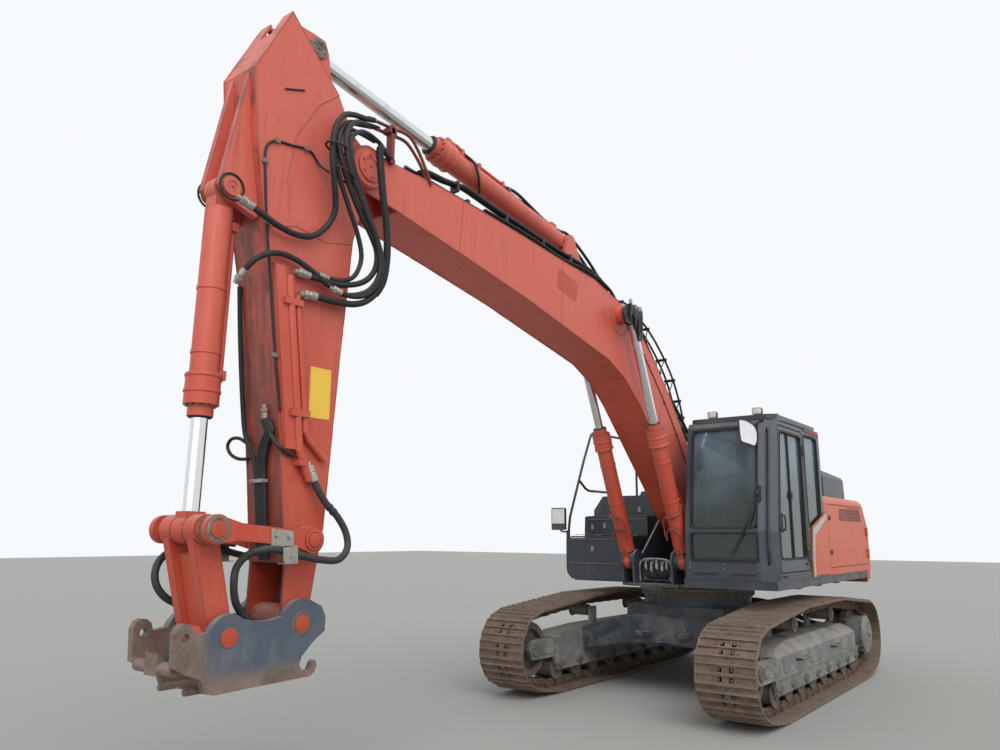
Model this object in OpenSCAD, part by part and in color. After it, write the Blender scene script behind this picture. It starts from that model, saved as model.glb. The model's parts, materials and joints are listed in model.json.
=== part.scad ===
// Crawler excavator, heavy class, with a quick coupler and no bucket
// Millimetres: +X forward along the boom, +Y left, +Z up, origin on the slew axis at ground level

/* [Undercarriage] */
// Distance between the idler and sprocket shafts
tumbler_dist = 4050; // [3900:10:4200]
// Distance between the centre lines of the tracks
gauge = 2590; // [2400:10:2700]
// Width of a track shoe
shoe_w = 600; // [500:10:700]
// Number of shoes in each track
shoe_count = 48; // [47:1:50]
// Height of a shoe's grouser over its plate
grouser_h = 24; // [18:1:30]
// Thickness of a shoe's plate
shoe_t = 12; // [10:1:16]
// Radius of the chain's pin line on idler and sprocket
chain_r = 366; // [350:1:380]
// Height of the idler and sprocket shafts above ground
tumbler_z = 508; // [490:1:530]
// Height of the upper rollers' shafts above ground
carrier_z = 857; // [820:1:870]
// Distance from the middle to each upper roller
carrier_x = 720; // [600:10:900]
// Radius of a lower track roller
roller_r = 110; // [100:1:115]
// Radius of an upper track roller
carrier_r = 70; // [60:1:74]
// Number of lower rollers on each side
roller_count = 8; // [7:1:9]
// Width of a side frame
side_frame_w = 380; // [340:10:420]
// Height of the car body's underside above ground
ground_clear = 500; // [450:10:550]

/* [Slew ring and revolving frame] */
// Outer radius of the slew ring
ring_r = 700; // [600:10:760]
// Underside of the revolving frame above ground
deck_z = 1215; // [1205:1:1240]
// Half width of the upper structure
upper_y = 1497; // [1450:1:1530]
// Thickness of the revolving frame's bottom plate
deck_t = 30; // [20:1:36]
// Height of the frame's side members
skirt_h = 115; // [90:5:120]
// Gap between a boom bracket plate and the boom
bracket_gap = 7; // [5:1:12]
// Thickness of a boom bracket plate
bracket_t = 24; // [20:1:36]

/* [Cab] */
// Rear face of the cab
cab_x0 = -460; // [-500:10:-420]
// Front face of the cab at its sill
cab_x1 = 1390; // [1350:10:1430]
// How far the front leans back over the cab's height
cab_lean = 210; // [150:10:240]
// Inner side face of the cab
cab_y0 = 490; // [480:1:520]
// Top of the cab's roof above ground
cab_top = 3120; // [3080:10:3160]
// Thickness of the cab's walls
cab_t = 50; // [40:1:60]
// Thickness of a window pane
glass_t = 6; // [5:1:8]
// Gap around a door or lid
door_gap = 6; // [5:1:8]

/* [Engine housing and counterweight] */
// Top of the side housings above ground
house_z = 2300; // [2250:10:2350]
// Top of the engine hood above ground
hood_z = 2690; // [2600:10:2800]
// Thickness of the housing's panels
panel_t = 32; // [25:1:40]
// Tail swing radius
tail_r = 3360; // [3300:10:3420]
// Front face of the counterweight
weight_x = -2640; // [-2700:10:-2600]
// Top of the counterweight above ground
weight_top = 2300; // [2250:10:2400]
// Underside of the counterweight above ground
weight_z = 1160; // [1140:10:1200]

/* [Boom] */
// Width of the boom's box section
boom_w = 450; // [430:2:456]
// Thickness of the boom's plates
boom_t = 20; // [16:1:24]
// Height of the boom foot pin
foot_z = 2048; // [2040:1:2060]
// Distance between the boom's two main pins
boom_len = 6400; // [6350:10:6450]
// Angle of the line through those pins
boom_angle = 21.8; // [21.4:0.1:22.2]

/* [Arm] */
// Width of the arm's box section
arm_w = 360; // [340:2:366]
// Thickness of the arm's plates
arm_t = 18; // [14:1:22]
// Distance between the arm's two main pins
arm_len = 3200; // [3150:10:3250]

/* [Cylinders] */
// Barrel radius of the boom cylinders
boom_cyl_r = 88; // [80:1:90]
// Rod radius of the boom cylinders
boom_rod_r = 48; // [42:1:50]
// Radius of the boom foot pin
foot_pin_r = 62; // [50:1:66]
// Radius of the pin between boom and arm
nose_pin_r = 56; // [46:1:60]
// Radius of the pin between arm and coupler
tip_pin_r = 52; // [44:1:54]
// Radius of the cylinders' foot pins
cyl_pin_r = 42; // [36:1:46]
// Radial clearance of a pin in its bore
pin_gap = 0.05; // [0.02:0.01:0.1]
// Sideways distance of the boom cylinders from the middle
boom_cyl_y = 350; // [349:1:356]
// Barrel radius of the arm cylinder
arm_cyl_r = 100; // [90:1:106]
// Rod radius of the arm cylinder
arm_rod_r = 60; // [52:1:64]
// Barrel radius of the coupler's cylinder
tip_cyl_r = 86; // [78:1:90]
// Rod radius of the coupler's cylinder
tip_rod_r = 50; // [44:1:54]

/* [Coupler] */
// Distance between the coupler's two hinge pins
coupler_pins = 515; // [505:1:525]
// Thickness of the coupler's side plates
coupler_t = 50; // [40:1:54]
// Gap between the arm's tip and the coupler's plates
coupler_gap = 7; // [5:1:10]

/* [Hidden] */
$fn = 48;

orange = "orangered";
dark = "#30343f";
steel = "silver";

// Chain: heights over the pin line of the shoe's inner face, and depth of the rail under it
link_up = 47;
link_down = 55;
rail_y = 90;
rail_t = 44;
ground_pin = link_up + shoe_t + grouser_h;
track_y = gauge / 2;

// Pins of the front, in the XZ plane
foot = [191, foot_z];
nose = foot + boom_len * [cos(boom_angle), sin(boom_angle)];
arm_dir = [0.1188, -0.9929];
tip = nose + arm_len * arm_dir;
arm_eye = nose + [399, 812];
boom_eye = foot + [2097, 2134];
cyl_foot = [1130, 1500];
arm_foot = [3100, 4805];
tip_foot = nose + [1019, -493];
guide_pin = tip + [-14, 506];
link_pin = tip + [669, 565];
coupler_front = tip + coupler_pins * [cos(-4.1), sin(-4.1)];

// Belt path of the chain: [x, z, r] of each circle, counter-clockwise seen from the right
contact_x = 1650;
belt = [
  [contact_x, ground_pin + 165, 165],
  [tumbler_dist / 2, tumbler_z, chain_r],
  [carrier_x, carrier_z, carrier_r + 5 + link_down],
  [-carrier_x, carrier_z, carrier_r + 5 + link_down],
  [-tumbler_dist / 2, tumbler_z, chain_r],
  [-contact_x, ground_pin + 165, 165]
];

function wrap360(a) = a - 360 * floor(a / 360);
function unit(a) = [cos(a), sin(a)];
function turn(v, a) = [v.x * cos(a) - v.y * sin(a), v.x * sin(a) + v.y * cos(a)];

// Angle of the outward normal of the straight run from circle i to the next
function run_normal(i) =
  let (a = belt[i], b = belt[(i + 1) % len(belt)], d = [b.x - a.x, b.y - a.y])
  atan2(d.y, d.x) - acos((a.z - b.z) / norm(d));
function run_len(i) =
  let (a = belt[i], b = belt[(i + 1) % len(belt)], d = [b.x - a.x, b.y - a.y])
  sqrt(d * d - pow(a.z - b.z, 2));
function arc_sweep(i) = wrap360(run_normal(i) - run_normal((i + len(belt) - 1) % len(belt)));
function arc_len(i) = belt[i].z * arc_sweep(i) * PI / 180;
// Length of path before circle i
function before(i) = i == 0 ? 0 : before(i - 1) + arc_len(i - 1) + run_len(i - 1);
belt_len = before(len(belt) - 1) + arc_len(len(belt) - 1) + run_len(len(belt) - 1);
pitch = belt_len / shoe_count;
// Point of the pin line at distance s along it
function belt_point(s, i = 0) =
  let (u = s - before(i), c = [belt[i].x, belt[i].y], a = run_normal(i), arc = arc_len(i))
  u <= arc ? c + belt[i].z * unit(a - arc_sweep(i) + u / belt[i].z * 180 / PI)
  : (u <= arc + run_len(i) || i == len(belt) - 1) ? c + belt[i].z * unit(a) + (u - arc) * unit(a + 90)
  : belt_point(s, i + 1);
pins = [for (k = [0:shoe_count - 1]) belt_point(k * pitch)];
function pin(k) = pins[(k + shoe_count) % shoe_count];
// Direction of link k, and the mitred offset of a joint by h outwards
function link_dir(k) = let (d = pin(k + 1) - pin(k)) d / norm(d);
function outward(k) = let (d = link_dir(k)) [d.y, -d.x];
function joint_offset(k, h) =
  let (n = outward(k) + outward(k - 1))
  pin(k) + n / norm(n) * h / cos(acos(min(1, outward(k) * outward(k - 1))) / 2);
chain_half = asin(pitch / 2 / chain_r);
idler_r = chain_r * cos(chain_half) - link_down - 0.3;

module at_y(y0, y1) {
  translate([0, y1, 0]) rotate([90, 0, 0]) linear_extrude(y1 - y0) children();
}
module both_sides() {
  children();
  mirror([0, 1, 0]) children();
}
module rod_y(p, r, y0, y1) {
  translate([p[0], y1, p[1]]) rotate([90, 0, 0]) cylinder(r = r, h = y1 - y0);
}
// Hinge halves round a local Z axis: the moving leaf lies towards +X, the surface they sit on at -drop in Y
hinge_r = 13;
hinge_pin_r = 7;
hinge_drop = 14;
module hinge_base(h = 80, reach = 40) {
  translate([0, 0, -h / 2 - 20]) cylinder(r = hinge_pin_r, h = h + 40);
  for (z = [-h / 2 - 21, h / 2 + 1]) translate([0, 0, z]) {
    cylinder(r = hinge_r, h = 20);
    translate([-reach, -hinge_drop, 0]) cube([reach, 11, 20]);
  }
}
module hinge_leaf(h = 80, reach = 50, lift = -1) {
  difference() {
    translate([0, 0, -h / 2]) union() {
      cylinder(r = hinge_r, h = h);
      translate([0, -hinge_drop + lift, 0]) cube([reach, 12, h]);
    }
    translate([0, 0, -h]) cylinder(r = hinge_pin_r + pin_gap, h = 2 * h);
  }
}
module along_x(x0, x1) {
  translate([x0, 0, 0]) rotate([90, 0, 90]) linear_extrude(x1 - x0) children();
}
function arc(c, r, a0, a1, n = 6) = [for (i = [0:n]) c + r * unit(a0 + (a1 - a0) * i / n)];
module box(x0, x1, y0, y1, z0, z1) {
  translate([x0, y0, z0]) cube([x1 - x0, y1 - y0, z1 - z0]);
}

// Undercarriage

module track() {
  loop_in = [for (k = [0:shoe_count - 1]) joint_offset(k, link_up)];
  rail_in = [for (k = [0:shoe_count - 1]) joint_offset(k, -link_down)];
  // Columns: share of the pitch along the shoe, height over the plate's inner face
  shoe_form = [
    [0.03, shoe_t], [0.08, shoe_t + grouser_h], [0.14, shoe_t],
    [0.44, shoe_t], [0.50, shoe_t + grouser_h], [0.56, shoe_t],
    [0.86, shoe_t], [0.92, shoe_t + grouser_h], [0.97, shoe_t]
  ];
  loop_out = [
    for (k = [0:shoe_count - 1], f = shoe_form)
      pin(k) + f[0] * (pin(k + 1) - pin(k)) + (link_up + f[1]) * outward(k)
  ];
  at_y(-shoe_w / 2, shoe_w / 2) difference() {
    polygon(loop_out);
    polygon(loop_in);
  }
  for (y = [-rail_y, rail_y])
    at_y(y - rail_t / 2, y + rail_t / 2) difference() {
      polygon(loop_in);
      polygon(rail_in);
    }
}
module track_left() {
  color("saddlebrown") translate([0, track_y, 0]) track();
}
module track_right() {
  color("saddlebrown") translate([0, -track_y, 0]) track();
}

tumbler = [tumbler_dist / 2, tumbler_z];
rail_gap = rail_y - rail_t / 2;
rail_out = rail_y + rail_t / 2;
module idlers() {
  color("sienna") both_sides() translate([0, track_y, 0]) {
    difference() {
      union() {
        rod_y(tumbler, idler_r, -rail_out - 8, rail_out + 8);
        rod_y(tumbler, idler_r + 22, -rail_gap + 6, rail_gap - 6);
      }
      rod_y(tumbler, idler_r - 70, rail_gap - 10, rail_out + 20);
      rod_y(tumbler, idler_r - 70, -rail_out - 20, -rail_gap + 10);
    }
    rod_y(tumbler, 105, -side_frame_w / 2 + 40.3, side_frame_w / 2 - 40.3);
  }
}

tooth_count = 21;
sprocket_t = 74;
module sprockets() {
  // Columns: share of a tooth's angle, radius
  tooth = [[-0.34, chain_r - 40], [-0.16, chain_r + 8], [0.16, chain_r + 8], [0.34, chain_r - 40]];
  color("dimgray") both_sides() translate([-tumbler[0], track_y, tumbler_z])
    rotate([90, 0, 0]) translate([0, 0, -sprocket_t / 2]) linear_extrude(sprocket_t) difference() {
      polygon([for (k = [0:tooth_count - 1], t = tooth) t[1] * unit((k + t[0]) * 360 / tooth_count)]);
      circle(r = 236);
    }
}
module travel_motors() {
  color("dimgray") both_sides() translate([-tumbler[0], track_y, tumbler_z]) {
    rod_y([0, 0], 235.7, -side_frame_w / 2 + 30, side_frame_w / 2 + 10);
    rod_y([0, 0], 290, -sprocket_t / 2 - 30, -sprocket_t / 2);
    rod_y([0, 0], 180, side_frame_w / 2 + 10, side_frame_w / 2 + 50);
    rod_y([0, 0], 150, -side_frame_w / 2 - 110, -side_frame_w / 2 + 30);
  }
}

roller_span = 3000;
roller_z = ground_pin + link_down + roller_r;
plate_y = side_frame_w / 2 - 40;
module roller(r, flange, half) {
  rod_y([0, 0], r - 0.3, -rail_out - 6, rail_out + 6);
  rod_y([0, 0], r + flange, rail_out + 6, rail_out + 22);
  rod_y([0, 0], r + flange, -rail_out - 22, -rail_out - 6);
  rod_y([0, 0], r * 0.5, -half, half);
}
module track_rollers() {
  color("sienna") both_sides() translate([0, track_y, 0]) {
    for (k = [0:roller_count - 1])
      translate([-roller_span / 2 + k * roller_span / (roller_count - 1), 0, roller_z])
        roller(roller_r, 20, plate_y - 0.3);
    for (x = [-carrier_x, carrier_x]) translate([x, 0, carrier_z]) {
      rod_y([0, 0], carrier_r - 2, -rail_out - 6, rail_out + 6);
      rod_y([0, 0], carrier_r + 14, rail_out + 6, rail_out + 20);
      rod_y([0, 0], 34, -rail_out - 40, rail_out + 6);
    }
  }
}

frame_top = 700;
module side_frames() {
  color("slategray") both_sides() translate([0, track_y, 0]) {
    // Box between the rollers and the upper run, its top sloping outwards
    intersection() {
      at_y(-side_frame_w / 2, side_frame_w / 2) polygon([
        [-1500, 395], [1560, 395], [1560, 600], [1420, 660], [900, frame_top], [-1300, frame_top], [-1500, 640]
      ]);
      along_x(-1600, 1600) polygon([
        [-side_frame_w / 2, 390], [side_frame_w / 2, 390], [side_frame_w / 2, frame_top - 110],
        [side_frame_w / 2 - 130, frame_top + 5], [-side_frame_w / 2, frame_top + 5]
      ]);
    }
    // Plates that hold the lower rollers
    for (y = [-side_frame_w / 2, plate_y])
      at_y(y, y + 40) polygon([[-1600, 395], [-1560, 235], [1560, 235], [1640, 395]]);
    // Idler yokes and the plate round the final drive
    for (y = [-side_frame_w / 2, plate_y])
      at_y(y, y + 40) polygon([
        [1560, 395], [1560, 600], [tumbler[0] - 60, tumbler_z + 110], [tumbler[0] + 90, tumbler_z + 90],
        [tumbler[0] + 120, tumbler_z], [tumbler[0] + 60, tumbler_z - 110], [1700, 395]
      ]);
    at_y(-side_frame_w / 2 - 10, -side_frame_w / 2 + 30 - 0.3) difference() {
      polygon([
        [-1500, 395], [-1500, 640], [-1850, tumbler_z + 250], [-2120, tumbler_z + 230],
        [-2240, tumbler_z + 60], [-2200, tumbler_z - 160], [-2000, tumbler_z - 240], [-1700, 300]
      ]);
      translate([-tumbler[0], tumbler_z]) circle(r = 150.3);
    }
    // Brackets of the upper rollers
    for (x = [-carrier_x, carrier_x])
      box(x - 70, x + 70, -rail_out - 80, -rail_out - 40.3, frame_top - 20, carrier_z + 50);
  }
}

body_top = 1085;
beam_x = 800;
beam_half = 200;
module car_body() {
  color(dark) {
    box(-720, 720, -620, 620, ground_clear, 960);
    translate([0, 0, 900]) cylinder(r = ring_r - 40, h = body_top - 900);
    // Arched beams between the side frames, in front and behind
    for (s = [-1, 1]) along_x(s * beam_x - beam_half, s * beam_x + beam_half) {
      y1 = track_y - side_frame_w / 2 - 0.3;
      polygon([
        [-y1, 420], [-y1 + 170, 460], [-500, 540], [0, ground_clear + 75], [500, 540], [y1 - 170, 460], [y1, 420],
        [y1, 672], [y1 - 200, 740], [500, 850], [-500, 850], [-y1 + 200, 740], [-y1, 672]
      ]);
    }
  }
}
module slew_ring() {
  color("dimgray") translate([0, 0, body_top + 0.3]) difference() {
    cylinder(r = ring_r, h = deck_z - body_top - 0.6, $fn = 96);
    translate([0, 0, -1]) cylinder(r = ring_r - 130, h = 200);
  }
}

// Upper structure

bracket_in = boom_w / 2 + bracket_gap;
bracket_out = bracket_in + bracket_t;
eye_half = 38;
deck_top = deck_z + deck_t;
// How far the frame's tail reaches under the counterweight
seat_x = 260;
module revolving_frame() {
  color(dark) {
    // Bottom plate: middle tongue and the two side decks
    box(weight_x - seat_x, 1240, -bracket_out - 60, bracket_out + 60, deck_z, deck_top);
    box(weight_x + 40, cab_x1 - 10, 455, upper_y - 10, deck_top - 10, deck_z + skirt_h);
    box(weight_x + 40, 640, -upper_y + 10, -455, deck_top - 10, deck_z + skirt_h);
    // Cross members
    for (x = [-2400, -1100, -300, 480])
      box(x, x + 120, -upper_y + 40, upper_y - 40, deck_z, deck_top + 40);
    // Bracket plates of the boom foot and of the boom cylinders
    both_sides() {
      at_y(bracket_in, bracket_out) {
        polygon([
          [-1500, deck_z + 5], [-1500, 1480], [-900, 1620], [-100, 1960], [60, foot_z + 110],
          [330, foot_z + 100], [980, 1610], [cyl_foot[0] + 120, cyl_foot[1] - 60], [1235, deck_z + 5]
        ]);
        translate(foot) circle(r = 175);
        translate(cyl_foot) circle(r = 130);
      }
      rod_y(cyl_foot, 100, bracket_out - 5, boom_cyl_y - eye_half - 2);
      rod_y(cyl_foot, cyl_pin_r, bracket_out - 5, boom_cyl_y + eye_half + 10);
      at_y(boom_cyl_y + eye_half + 2, boom_cyl_y + eye_half + 30) {
        translate(cyl_foot) circle(r = 105);
        polygon([
          [cyl_foot[0] - 180, deck_z + 5], [cyl_foot[0] - 104, cyl_foot[1]], [cyl_foot[0] + 104, cyl_foot[1]],
          [cyl_foot[0] + 60, deck_z + 5]
        ]);
      }
      box(cyl_foot[0] - 180, cyl_foot[0] + 60, bracket_out - 5, boom_cyl_y + eye_half + 30, deck_z,
        deck_top);
    }
    box(-1450, -1400, -bracket_in - 5, bracket_in + 5, deck_top - 5, 1480);
    rod_y(foot, foot_pin_r, -bracket_out - 25, bracket_out + 25);
  }
}

cab_z = deck_z + skirt_h + 0.3;
sill_h = 520;
roof_t = 50;
cab_roof = cab_top - roof_t;
function cab_front(z) = cab_x1 - cab_lean * max(0, z - cab_z - sill_h) / (cab_top - cab_z - sill_h);
module cab_profile(inset) {
  polygon([
    [cab_x0 + inset, cab_z + inset], [cab_x1 - inset, cab_z + inset], [cab_x1 - inset, cab_z + sill_h],
    [cab_front(cab_roof - 60) - inset, cab_roof - 60], [cab_front(cab_roof) - inset - 40, cab_roof - inset],
    [cab_x0 + inset + 40, cab_roof - inset], [cab_x0 + inset, cab_roof - 60 - inset]
  ]);
}
// Cab body with its outer front corner cut off by corner_w, upright below the bend and leaning above it
corner_w = 180;
module cab_solid(inset) {
  difference() {
    at_y(cab_y0 + inset, upper_y - inset) cab_profile(inset);
    for (lean = [0, atan(cab_lean / (cab_top - cab_z - sill_h))])
      translate([cab_x1 - inset * 0.9, upper_y - corner_w - inset * 0.1, cab_z + sill_h]) rotate([0, -lean, 0])
        rotate([0, 0, 118]) translate([-600, -600, -2500]) cube([1200, 600, 5000]);
  }
}
door_x0 = 250;
door_z0 = cab_z + 80;
door_z1 = cab_top - 120;
door_hinge_z = [door_z0 + 160, door_z1 - 220];
module door_profile(grow) {
  polygon([
    [door_x0 - grow, door_z0 - grow], [cab_x1 - 110 + grow, door_z0 - grow],
    [cab_x1 - 110 + grow, cab_z + sill_h], [cab_front(door_z1) - 110 + grow, door_z1 + grow],
    [door_x0 - grow, door_z1 + grow]
  ]);
}
// Openings: [[x0, x1], [y0, y1], [z0, z1]], grown by grow in the pane's own directions
glass_z1 = cab_roof - 85;
pane_y = [cab_y0 + 55, upper_y - corner_w - 12];
cab_panes = [
  // Upper and lower front, roof hatch, inner side, rear, quarter behind the door
  [[cab_x1 - 340, cab_x1 + 60], pane_y, [cab_z + sill_h + 20, glass_z1], [0, 1, 1]],
  [[cab_x1 - 120, cab_x1 + 80], pane_y, [cab_z + 190, cab_z + sill_h - 20], [0, 1, 1]],
  [[60, 840], [cab_y0 + 140, upper_y - 140], [cab_roof - 120, cab_top + 20], [1, 1, 0]],
  [[cab_x0 + 130, 940], [cab_y0 - 10, cab_y0 + cab_t + 10], [cab_z + 520, glass_z1], [1, 0, 1]],
  [[cab_x0 - 20, cab_x0 + cab_t + 20], [cab_y0 + 80, upper_y - 80], [cab_z + 640, glass_z1], [0, 1, 1]],
  [[cab_x0 + 110, 195], [upper_y - cab_t - 10, upper_y + 10], [cab_z + 560, glass_z1], [1, 0, 1]]
];
module cab_windows(grow) {
  for (w = cab_panes) {
    g = grow * w[3];
    box(w[0][0] - g.x, w[0][1] + g.x, w[1][0] - g.y, w[1][1] + g.y, w[2][0] - g.z, w[2][1] + g.z);
  }
}
module cab_shell() {
  color(dark) {
    difference() {
      union() {
        cab_solid(0);
        // Roof panel with round corners
        translate([0, 0, cab_roof - 5]) linear_extrude(roof_t + 5) {
          for (x = [cab_x0 + 140, cab_front(cab_roof) - 130], y = [cab_y0 + 110, upper_y - 110])
            translate([x, y]) circle(r = 100);
          translate([cab_x0 + 40, cab_y0 + 110]) square([cab_front(cab_roof) - cab_x0 - 70, upper_y - cab_y0 - 220]);
          translate([cab_x0 + 140, cab_y0 + 10]) square([cab_front(cab_roof) - cab_x0 - 270, upper_y - cab_y0 - 20]);
        }
      }
      cab_solid(cab_t);
      cab_windows(0);
      at_y(upper_y - cab_t - 10, upper_y + 10) door_profile(door_gap);
    }
    for (z = door_hinge_z) translate([door_x0 - 4, upper_y + hinge_drop, z]) hinge_base();
  }
}
module cab_glass() {
  color("lightblue") intersection() {
    difference() {
      cab_solid(20);
      cab_solid(20 + glass_t);
    }
    cab_windows(-0.3);
  }
}
module cab_door() {
  color(dark) {
    difference() {
      at_y(upper_y - cab_t + 5, upper_y) door_profile(0);
      at_y(upper_y - cab_t - 5, upper_y + 10) door_window(0);
    }
    for (z = door_hinge_z) translate([door_x0 - 4, upper_y + hinge_drop, z]) hinge_leaf();
  }
}
module door_window(shrink) {
  polygon([
    [door_x0 + 60 + shrink, cab_z + 215 + shrink], [cab_x1 - 155 - shrink, cab_z + 215 + shrink],
    [cab_x1 - 155 - shrink, cab_z + sill_h], [cab_front(door_z1 - 55) - 155 - shrink, door_z1 - 55 - shrink],
    [door_x0 + 60 + shrink, door_z1 - 55 - shrink]
  ]);
}
module cab_door_glass() {
  color("lightblue") at_y(upper_y - 28, upper_y - 28 + glass_t) door_window(0.3);
}
module operator_seat() {
  color("dimgray") translate([60, (cab_y0 + upper_y) / 2, cab_z + cab_t]) {
    box(-200, 260, -220, 220, 0.3, 330);
    box(-250, 290, -260, 260, 330, 450);
    at_y(-250, 250) polygon([[-280, 450], [-140, 450], [-250, 1120], [-350, 1120]]);
  }
}
module cab_controls() {
  color("dimgray") {
    for (y = [cab_y0 + cab_t + 20, upper_y - cab_t - 170]) {
      box(-60, 560, y, y + 150, cab_z + cab_t + 0.3, cab_z + 620);
      translate([470, y + 75, cab_z + 615]) cylinder(r = 22, h = 200);
      translate([470, y + 75, cab_z + 800]) sphere(r = 38);
    }
    for (y = [930, 1060]) translate([cab_x1 - 360, y, cab_z + cab_t + 0.3]) {
      box(-30, 90, -45, 45, 0, 30);
      rotate([0, -20, 0]) translate([40, -8, 0]) cube([16, 16, 480]);
    }
  }
}

house_x0 = weight_x + 0.3;
house_x1 = cab_x0 - 12;
side_hinge_z = [1560, 1860];
// Half section of a side housing: outer top edge rounded, everything moved in by inset
module house_section(inset) {
  r = 100;
  polygon(concat(
    [[560 - 2 * inset, deck_z + skirt_h + 0.3 - 2 * inset], [upper_y - inset, deck_z + skirt_h + 0.3 - 2 * inset]],
    arc([upper_y - r, house_z - r], r - inset, 0, 90),
    [[560 - 2 * inset, house_z - inset]]
  ));
}
// Wedge that takes off the housing's rear, outer, top corner: how far it reaches along X, Y and Z
corner = [300, 330, 400];
module corner_wedge(inset) {
  o = [-90, 90, 90];
  g = o.y / corner.y + o.z / corner.z;
  h = -o.x / corner.x + o.z / corner.z;
  k = -o.x / corner.x + o.y / corner.y;
  translate([house_x0, upper_y, house_z] + inset * [0.7, -0.7, -0.7]) polyhedron(
    [[o.x, o.y, o.z], [corner.x * (1 + g), o.y, o.z], [o.x, -corner.y * (1 + h), o.z], [o.x, o.y, -corner.z * (1 + k)]],
    [[0, 1, 2], [0, 2, 3], [0, 3, 1], [1, 3, 2]]
  );
}
module side_house(x1) {
  difference() {
    along_x(house_x0, x1) house_section(0);
    difference() {
      along_x(house_x0 + panel_t, x1 - panel_t) house_section(panel_t);
      corner_wedge(panel_t);
    }
    corner_wedge(0);
  }
}
module left_housing() {
  color(orange) {
    difference() {
      side_house(house_x1);
      left_door_panel(door_gap, 10);
    }
    // Panel that laps over the rear of the cab, under the slanting stripe
    at_y(upper_y + 2, upper_y + 20) polygon([
      [house_x1 - 30, deck_z + skirt_h + 20], [185, deck_z + skirt_h + 20], [185, 1520], [105, 1905],
      [house_x1 - 30, 2090]
    ]);
    box(house_x1 - 30, house_x1, upper_y - 10, upper_y + 20, deck_z + skirt_h + 20, 2080);
    for (z = side_hinge_z) translate([house_x0 + 106, upper_y + hinge_drop, z]) hinge_base();
  }
}
// Side door: its rear top corner follows the wedge
module side_door(x1, grow, deep) {
  at_y(upper_y - panel_t - deep, upper_y + deep) polygon([
    [house_x0 + 110 - grow, deck_z + skirt_h + 90 - grow], [x1 + grow, deck_z + skirt_h + 90 - grow],
    [x1 + grow, house_z - 110 + grow], [house_x0 + corner.x - grow * 0.4, house_z - 110 + grow],
    [house_x0 + 110 - grow, house_z - corner.z + 40 + grow * 0.4]
  ]);
}
// Shallow louvres in the upper half of a side door
module louvres(x0, x1) {
  for (z = [2010:36:2154]) box(x0, x1, upper_y - 9, upper_y + 5, z, z + 16);
}
module left_door_panel(grow, deep) {
  side_door(house_x1 - 150, grow, deep);
}
module left_service_door() {
  color(orange) {
    difference() {
      left_door_panel(0, 0);
      louvres(-2180, -1560);
    }
    for (z = side_hinge_z) translate([house_x0 + 106, upper_y + hinge_drop, z]) hinge_leaf();
  }
}
pump_x1 = -1330;
module right_housing() {
  color(orange) mirror([0, 1, 0]) {
    difference() {
      side_house(pump_x1);
      side_door(pump_x1 - 90, door_gap, 10);
    }
    for (z = side_hinge_z) translate([house_x0 + 106, upper_y + hinge_drop, z]) hinge_base();
  }
}
module right_service_door() {
  color(orange) mirror([0, 1, 0]) {
    difference() {
      side_door(pump_x1 - 90, 0, 0);
      louvres(-2180, -1560);
    }
    for (z = side_hinge_z) translate([house_x0 + 106, upper_y + hinge_drop, z]) hinge_leaf();
  }
}
hood_x0 = -2560;
hood_x1 = -1480;
hood_y0 = -960;
hood_y1 = 1240;
module engine_cover() {
  color(orange) {
    // Roof between the side housings, open under the hood
    difference() {
      box(house_x0, house_x1, -559.7, 559.7, house_z - panel_t, house_z);
      box(hood_x0 + 40, hood_x1 - 40, -700, 700, house_z - 60, house_z + 10);
    }
    for (y = [-400, 400]) translate([hood_x1 + 20, y, house_z + hinge_drop]) rotate([90, 0, 180]) hinge_base();
  }
}
module hood_form(t) {
  intersection() {
    at_y(hood_y0 + t, hood_y1 - t) polygon([
      [hood_x0 + t, house_z + 6 - t], [hood_x1 - t, house_z + 6 - t], [hood_x1 - 20 - t, hood_z - 90],
      [hood_x1 - 90 - t, hood_z - t], [hood_x0 + 60 + t, hood_z - 60 - t], [hood_x0 + 15 + t, hood_z - 100]
    ]);
    along_x(hood_x0, hood_x1) polygon([
      [hood_y0 + t, house_z + 6 - t], [hood_y1 - t, house_z + 6 - t], [hood_y1 - 5 - t, hood_z - 90],
      [hood_y1 - 50 - t, hood_z + 10 - t], [hood_y0 + 60 + t, hood_z + 10 - t], [hood_y0 + 10 + t, hood_z - 110]
    ]);
  }
}
module engine_hood() {
  color(dark) {
    difference() {
      hood_form(0);
      hood_form(36);
    }
    for (y = [-400, 400]) translate([hood_x1 + 20, y, house_z + hinge_drop]) rotate([90, 0, 180])
      hinge_leaf(lift = 7);
  }
}
module engine_block() {
  color("gray") {
    box(-2420, -1640, -560, 540, deck_top + 120, 2150);
    for (x = [-2200, -1800], y = [-270, 190]) box(x, x + 100, y, y + 80, deck_top + 0.3, deck_top + 121);
  }
}
tank_x1 = 0;
tank_z = house_z + 30;
module fuel_tank() {
  color(dark) difference() {
    along_x(pump_x1 + 0.3, tank_x1) polygon([
      [-upper_y + 5, deck_z + skirt_h + 0.3], [-562, deck_z + skirt_h + 0.3], [-562, tank_z],
      [-upper_y + 150, tank_z], [-upper_y + 5, tank_z - 190]
    ]);
    along_x(pump_x1 + 32, tank_x1 - 22) polygon([
      [-upper_y + 27, deck_z + skirt_h - 5], [-582, deck_z + skirt_h - 5], [-582, tank_z - 22],
      [-upper_y + 160, tank_z - 22], [-upper_y + 27, tank_z - 196]
    ]);
  }
}
step_x = [640, 300];
step_z = [1760, 2050];
lid_hinge_y = [-1250, -700];
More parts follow.
